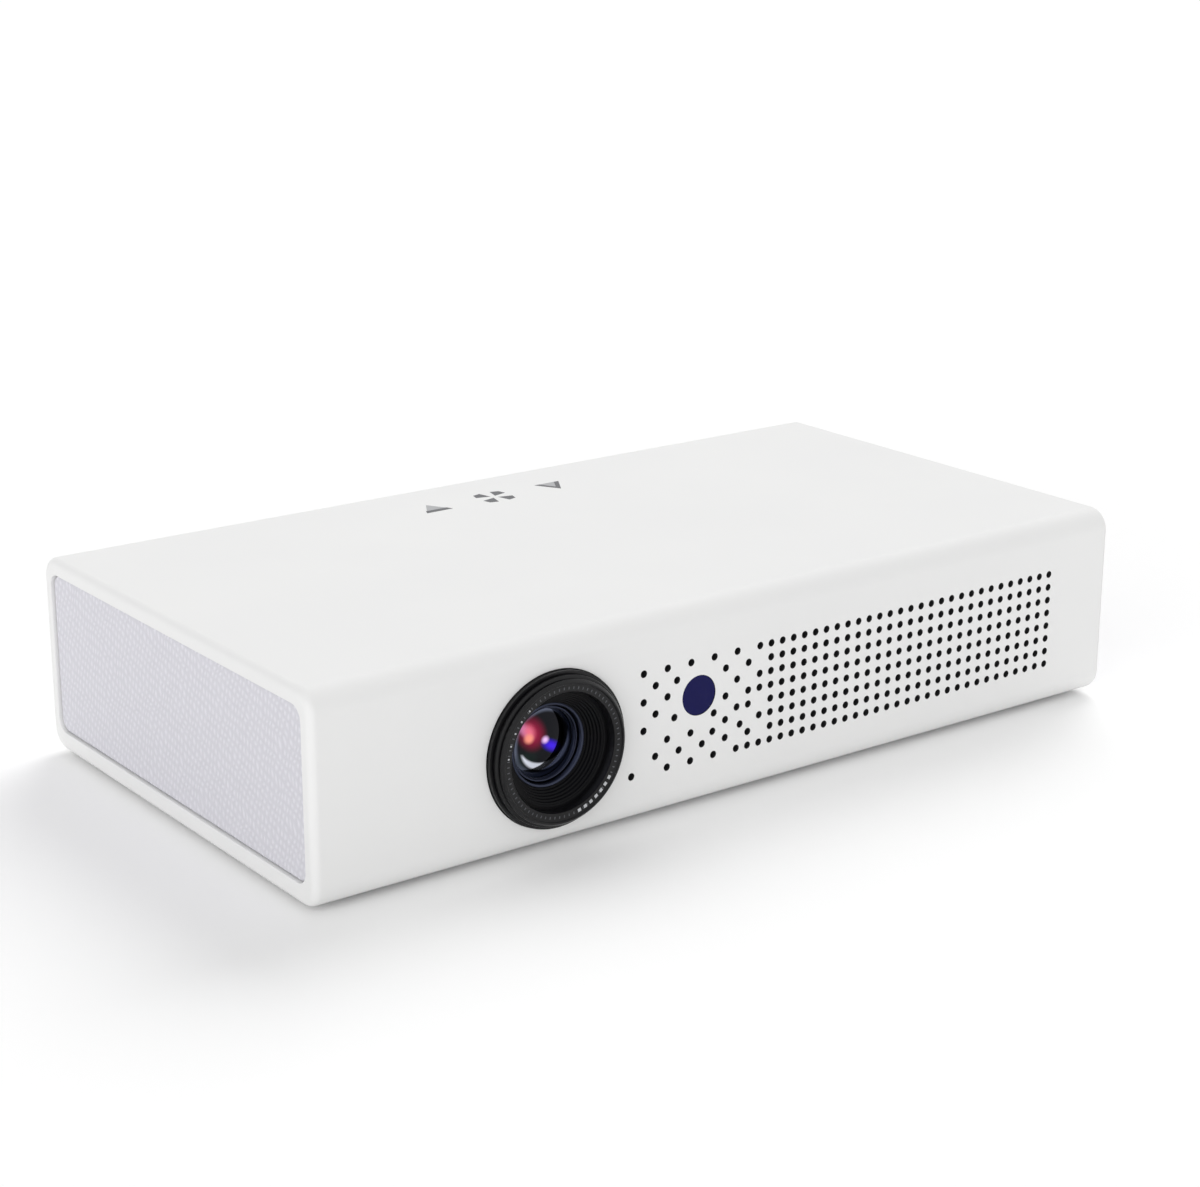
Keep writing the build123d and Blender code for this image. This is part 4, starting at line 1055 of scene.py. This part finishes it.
def scale_tree():
    """Small flat marks round a ring, as many as asked, over a part of the turn."""
    tree, start = begin_tree(
        "scale_marks",
        Count="Int",
        Radius="Float",
        Start="Float",
        Sweep="Float",
        Mark="Vector",
        Middle="Vector",
    )
    points = add(tree, "GeometryNodeMeshLine", [("Count", start.outputs["Count"])])
    index = add(tree, "GeometryNodeInputIndex")
    share = maths(tree, "DIVIDE", index.outputs[0], start.outputs["Count"])
    turn = maths(tree, "MULTIPLY_ADD", share, start.outputs["Sweep"], start.outputs["Start"])
    cosine, sine = maths(tree, "COSINE", turn), maths(tree, "SINE", turn)
    towards = add(tree, "ShaderNodeCombineXYZ", [("X", cosine), ("Z", sine)])
    reach = add(
        tree,
        "ShaderNodeVectorMath",
        [(0, towards.outputs[0]), ("Scale", start.outputs["Radius"])],
        operation="SCALE",
    )
    spot = add(
        tree, "ShaderNodeVectorMath", [(0, reach.outputs[0]), (1, start.outputs["Middle"])], operation="ADD"
    )
    placed = add(
        tree, "GeometryNodeSetPosition", [("Geometry", points.outputs[0]), ("Position", spot.outputs[0])]
    )
    cube = add(tree, "GeometryNodeMeshCube", [("Size", start.outputs["Mark"])])
    turned = add(tree, "ShaderNodeCombineXYZ", [("Y", maths(tree, "MULTIPLY", turn, -1.0))])
    marks = add(
        tree,
        "GeometryNodeInstanceOnPoints",
        [("Points", placed.outputs[0]), ("Instance", cube.outputs["Mesh"]), ("Rotation", turned.outputs[0])],
    )
    return end_tree(tree, start, marks.outputs[0])


def focus_scale(y):
    """A fine scale round the focus ring's face, with bolder marks at its lower right and its left."""
    tree = scale_tree()
    fine, bold = mark_ink(), mark_ink("engraving_paint_bright", "#A8AAAE", "#C8CACD")
    rows = []
    for name, count, start, sweep, mark, material in (
        ("fine", 72, 0, 360, (0.7, 0.04, 0.3), fine),
        ("right", 7, -74, 46, (0.9, 0.05, 1.0), bold),
        ("left", 5, 128, 56, (0.5, 0.05, 0.4), bold),
    ):
        row = mesh_object(f"scale_{name}", [(0, 0, 0)], [])
        run_tree(
            row,
            tree,
            Count=count,
            Radius=17.5 * MM,
            Start=math.radians(start),
            Sweep=math.radians(sweep),
            Mark=tuple(v * MM for v in mark),
            Middle=(LENS_X, y, LENS_Z),
            Material=material,
        )
        rows.append(row)
    bpy.context.view_layer.update()
    first = rows[0]
    with bpy.context.temp_override(
        active_object=first, selected_editable_objects=rows, selected_objects=rows
    ):
        bpy.ops.object.join()
    first.name = "focus_scale"
    return first


def finish_node(node, material):
    """Gives a CAD node its material."""
    item = NODES[node]
    item.data.materials.clear()
    item.data.materials.append(material)


# ------------------------------------------------------------------ disc drive


def ball(centre, radius):
    """A small ball."""
    work = bmesh.new()
    bmesh.ops.create_uvsphere(work, u_segments=24, v_segments=12, radius=radius)
    bmesh.ops.translate(work, verts=work.verts, vec=centre)
    places = [tuple(vertex.co) for vertex in work.verts]
    loops = [[vertex.index for vertex in face.verts] for face in work.faces]
    work.free()
    # Blender gives these faces in another order each run, so each starts at its lowest point, in order.
    turned = [loop[loop.index(min(loop)) :] + loop[: loop.index(min(loop))] for loop in loops]
    return mesh_object("ball", places, sorted(turned))


class PROJECTOR_OT_disc_drive(bpy.types.Operator):
    """Makes the turntable with its clip balls, the pickup's cover and its lens."""

    bl_idname = "projector.disc_drive"
    bl_label = "Disc drive"

    def execute(self, context):
        low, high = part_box("turntable_hub")
        middle = ((low.x + high.x) / 2, (low.y + high.y) / 2)
        bottom, top = low.z / MM, high.z / MM
        seat, under = top - 2.4, top - 4.6
        reach = (high.x - low.x) / 2 / MM
        hub = lathe(
            "turntable",
            [
                (AXIS, bottom),
                (1.0, bottom),
                (1.0, under),
                (reach - 0.3, under),
                (reach, under + 0.3),
                (reach, seat - 0.3),
                (reach - 0.3, seat),
                (7.4, seat),
                (7.4, top - 0.7),
                (6.7, top),
                (2.2, top),
                (1.8, top - 0.5),
                (AXIS, top - 0.5),
            ],
            middle,
            upright_axis=True,
        )
        smooth(hub)
        dress(hub, grey_abs(), "hub", "turntable_hub", slot="grey_plastic")
        pad_points = [(10.0, seat - 0.05), (10.0, seat + 0.1), (10.3, seat + 0.2), (13.2, seat + 0.2)]
        pad_points += [(13.5, seat + 0.1), (13.5, seat - 0.05)]
        pad = lathe("turntable_pad", pad_points, middle, upright_axis=True)
        smooth(pad)
        dress(pad, rubber(), "hub")
        balls = []
        for i in range(3):
            angle = math.radians(90 + 120 * i)
            x, y = middle[0] + 6.9 * MM * math.cos(angle), middle[1] + 6.9 * MM * math.sin(angle)
            balls.append(ball((x, y, (seat + 1.3) * MM), 0.85 * MM))
        balls = join("clip_balls", balls)
        smooth(balls)
        dress(balls, metal("steel_polished_balls", "#C4C6C8", "#BABCBE", (0.08, 0.14)), "hub")

        lens_low, lens_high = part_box("objective_lens")
        eye = ((lens_low.x + lens_high.x) / 2, (lens_low.y + lens_high.y) / 2)
        face = lens_high.z / MM - 0.2
        away = Vector((eye[0] - middle[0], eye[1] - middle[1])).normalized()
        aside = Vector((-away.y, away.x))
        cover = []
        for z, inset in ((face - 0.02, 0.0), (face + 0.16, 0.0), (face + 0.24, 0.12)):
            points = rounded((8.2 - 2 * inset) * MM, (21 - 2 * inset) * MM, (1.6 - inset) * MM, 5)
            cover.append([
                (
                    eye[0] + away.x * (u - 2 * MM) + aside.x * v,
                    eye[1] + away.y * (u - 2 * MM) + aside.y * v,
                    z * MM,
                )
                for u, v in points
            ])
        cover = loft("pickup_cover", cover)
        smooth(cover)
        dress(cover, black_abs(), "sled")
        holder_points = [(2.1, face - 0.3), (3.3, face - 0.3), (3.3, face + 0.3), (3.1, face + 0.45)]
        holder_points += [(2.35, face + 0.45), (2.1, face + 0.3)]
        holder = lathe("objective_holder", holder_points, eye, 48, True)
        smooth(holder)
        dress(holder, metal("aluminium_turned_bright", "#B4B6B9", "#A8AAAD", (0.2, 0.3), 0.4), "sled")
        dome = [(AXIS, lens_low.z / MM), (2.1, lens_low.z / MM), (2.1, face + 0.2)]
        for i in range(1, 9):
            part = 1 - i / 8
            dome.append((max(2.1 * part, AXIS), face + 0.2 + 0.3 * (1 - part**2)))
        eye_lens = lathe("objective_dome", dome, eye, 48, True)
        smooth(eye_lens, 50)
        dress(eye_lens, blued_lens(), "sled", "objective_lens", slot="glass")
        return {"FINISHED"}


class PROJECTOR_OT_power_key(bpy.types.Operator):
    """Makes the round power key with its shallow dish and the flange behind the wall."""

    bl_idname = "projector.power_key"
    bl_label = "Power key"

    def execute(self, context):
        low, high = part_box("power_button")
        inner, outer = low.y / MM, high.y / MM
        points = [(AXIS, inner), (5.1, inner), (5.1, inner + 1.2), (4.0, inner + 1.2), (4.0, outer - 0.25)]
        points += [(3.75, outer), (3.3, outer), (1.5, outer - 0.3), (AXIS, outer - 0.35)]
        key = lathe("power_key", points, ((low.x + high.x) / 2, (low.z + high.z) / 2), 64)
        smooth(key)
        dress(key, grey_abs(), "power_key", "power_button", slot="grey_plastic")
        return {"FINISHED"}


# ------------------------------------------------------------------ everything else


class PROJECTOR_OT_insides(bpy.types.Operator):
    """Gives each remaining CAD node its material."""

    bl_idname = "projector.insides"
    bl_label = "Other pieces"

    def execute(self, context):
        white, black, grey = white_abs("abs_moulded_white_cover"), black_abs(), grey_abs()
        steel, cast, red_metal = zinc_steel(), cast_aluminium(), copper()
        board, feet, navy = circuit_board(), rubber(), window_acrylic()
        plans = {
            white: ("bottom_cover", "tray_bezel", "eject_button"),
            black: (
                "disc_tray", "speaker_box_left", "speaker_box_right", "speaker_cone_left",
                "speaker_cone_right", "fan_frame", "fan_rotor", "audio_jack", "power_socket", "power_switch",
            ),
            grey: ("rail_guides",),
            steel: (
                "cover_screws", "drive_screws", "drive_pan", "drive_cover", "tray_rails", "traverse_plate",
                "spindle_motor", "guide_rods", "lead_screw", "sled_motor", "hdmi_socket", "usb_sockets",
            ),
            cast: ("engine_housing", "chip_heat_sink", "fin_stack", "pickup_sled"),
            red_metal: ("heat_pipes", "light_source_plates"),
            brass(): ("tripod_insert",),
            board: (
                "main_board", "power_board", "imaging_board", "sensor_board", "touch_key_board",
                "drive_adapter_board",
            ),
            feet: ("rubber_feet",),
            navy: ("sensor_window",),
        }
        for material, names in plans.items():
            for name in names:
                finish_node(name, material)
        return {"FINISHED"}


# ------------------------------------------------------------------ touch marks


class PROJECTOR_OT_marks(bpy.types.Operator):
    """Prints the three touch marks on the top."""

    bl_idname = "projector.marks"
    bl_label = "Touch marks"

    def execute(self, context):
        top = SHELL_HIGH.z
        key_low, key_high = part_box("touch_key_board")
        y = SHELL_HIGH.y - 25 * MM
        x = (key_low.x + key_high.x) / 2
        pitch = 22.2 * MM
        size = 4.6 * MM

        def shape(points, cx, over=0.0):
            high = top + (0.02 + over) * MM
            return loft("mark", [[(cx + u, y + v, h) for u, v in points] for h in (top - 0.2 * MM, high)])

        def outline(sign):
            """A triangle that points back (1) or front (-1)."""
            return [(-size, -sign * size * 0.8), (size, -sign * size * 0.8), (0, sign * size * 0.9)]

        wedges = []
        for quarter in range(4):
            rotate = Matrix.Rotation(math.radians(45 + 90 * quarter), 2)
            wedge = [(1.2 * MM, 0), (5.2 * MM, 2.4 * MM), (6.6 * MM, 0), (5.2 * MM, -2.4 * MM)]
            wedges.append(shape([tuple(rotate @ Vector(p)) for p in wedge], x))
        bar = [(-size, -size * 0.8), (size, -size * 0.8)]
        bar += [(size * 0.8, -size * 0.35), (-size * 0.8, -size * 0.35)]
        chevron = [
            (-size, size * 0.8),
            (-size * 0.62, size * 0.8),
            (0, -size * 0.3),
            (size * 0.62, size * 0.8),
            (size, size * 0.8),
            (0, -size * 0.9),
        ]
        dark = [*wedges, shape(bar, x - pitch, 0.01), shape(chevron, x + pitch, 0.01)]
        grey_ink = ink("printing_ink_grey", chosen("marks"), "#626366")
        dress(join("touch_marks", dark), grey_ink, "chassis")
        pale = [shape(outline(1), x - pitch), shape(outline(-1), x + pitch)]
        dress(join("touch_mark_fills", pale), ink("printing_ink_pale", "#A9AAAC", "#B2B3B5"), "chassis")
        return {"FINISHED"}


# ------------------------------------------------------------------ stage


class PROJECTOR_OT_stage(bpy.types.Operator):
    """Sets the floor, the lamps, the world and the camera."""

    bl_idname = "projector.stage"
    bl_label = "Stage"

    def execute(self, context):
        scene = context.scene
        sizes = scene.stage_sizes
        scene.view_settings.view_transform = "Standard"

        reach = 40.0
        corners = [(-reach, -reach, 0), (reach, -reach, 0), (reach, reach, 0), (-reach, reach, 0)]
        floor = mesh_object("floor", corners, [(0, 1, 2, 3)])
        material, tree, shader = new_material("studio_floor")
        shader.inputs["Base Color"].default_value = linear("#FEFEFE")
        shader.inputs["Roughness"].default_value = 0.9
        glow = add(tree, "ShaderNodeEmission", Color=linear("#FFFFFF"))
        path = add(tree, "ShaderNodeLightPath")
        lift = maths(tree, "MULTIPLY", path.outputs["Is Camera Ray"], 0.035)
        tree.links.new(lift, glow.inputs["Strength"])
        both = add(tree, "ShaderNodeAddShader", [(0, shader.outputs[0]), (1, glow.outputs[0])])
        tree.links.new(both.outputs[0], tree.nodes["Material Output"].inputs["Surface"])
        floor.data.materials.append(material)

        world = bpy.data.worlds.new("studio")
        scene.world = world
        world.use_nodes = True
        tree = world.node_tree
        tree.nodes.clear()
        light = add(tree, "ShaderNodeBackground", Strength=sizes.sky_light)
        plain = add(tree, "ShaderNodeBackground", Strength=1.0)
        for sky in (light, plain):
            sky.inputs["Color"].default_value = linear("#FFFFFF")
        path = add(tree, "ShaderNodeLightPath")
        seen = path.outputs["Is Camera Ray"]
        for kind in ("Is Glossy Ray", "Is Transmission Ray"):
            seen = maths(tree, "MAXIMUM", seen, path.outputs[kind])
        mix = add(tree, "ShaderNodeMixShader", [(0, seen), (1, light.outputs[0]), (2, plain.outputs[0])])
        output = add(tree, "ShaderNodeOutputWorld")
        tree.links.new(mix.outputs[0], output.inputs["Surface"])

        for name, energy, angle, travel in (
            ("main_softbox", sizes.main_light, 38, (-0.30, -0.20, -0.33)),
            ("front_fill", sizes.fill_light, 70, (0.33, 0.24, -0.10)),
        ):
            lamp = bpy.data.lights.new(name, "SUN")
            lamp.energy = energy
            lamp.angle = math.radians(angle)
            item = bpy.data.objects.new(name, lamp)
            item.rotation_euler = Vector(travel).to_track_quat("-Z", "Y").to_euler()
            item.visible_glossy = False
            scene.collection.objects.link(item)

        camera = bpy.data.cameras.new("camera")
        camera.lens = sizes.camera_lens
        camera.sensor_width = 36.0
        camera.clip_start, camera.clip_end = 0.05, 20.0
        item = bpy.data.objects.new("camera", camera)
        item.location = sizes.camera_place
        item.rotation_euler = sizes.camera_turn
        scene.collection.objects.link(item)
        scene.camera = item
        return {"FINISHED"}


class PROJECTOR_PT_panel(bpy.types.Panel):
    """Lists the pieces."""

    bl_label = "Projector"
    bl_idname = "PROJECTOR_PT_panel"
    bl_space_type = "VIEW_3D"
    bl_region_type = "UI"
    bl_category = "Projector"

    def draw(self, context):
        for step in STEPS:
            self.layout.operator(step.bl_idname)


STEPS = (
    PROJECTOR_OT_shell,
    PROJECTOR_OT_grilles,
    PROJECTOR_OT_lens,
    PROJECTOR_OT_disc_drive,
    PROJECTOR_OT_power_key,
    PROJECTOR_OT_insides,
    PROJECTOR_OT_marks,
    PROJECTOR_OT_stage,
)
CLASSES = (ShellSizes, PartColours, StageSizes, *STEPS, PROJECTOR_PT_panel)


def register():
    for item in CLASSES:
        bpy.utils.register_class(item)
    bpy.types.Scene.shell_sizes = PointerProperty(type=ShellSizes)
    bpy.types.Scene.part_colours = PointerProperty(type=PartColours)
    bpy.types.Scene.stage_sizes = PointerProperty(type=StageSizes)


def unregister():
    del bpy.types.Scene.shell_sizes
    del bpy.types.Scene.part_colours
    del bpy.types.Scene.stage_sizes
    for item in reversed(CLASSES):
        bpy.utils.unregister_class(item)


def main():
    register()
    for item in list(bpy.data.objects):
        if item.type in {"LIGHT", "CAMERA"} or item.name == "Cube":
            bpy.data.objects.remove(item)
    bpy.ops.projector.shell()
    bpy.ops.projector.grilles()
    bpy.ops.projector.lens()
    bpy.ops.projector.disc_drive()
    bpy.ops.projector.power_key()
    bpy.ops.projector.insides()
    bpy.ops.projector.marks()
    bpy.ops.projector.stage()


if __name__ == "__main__":
    main()
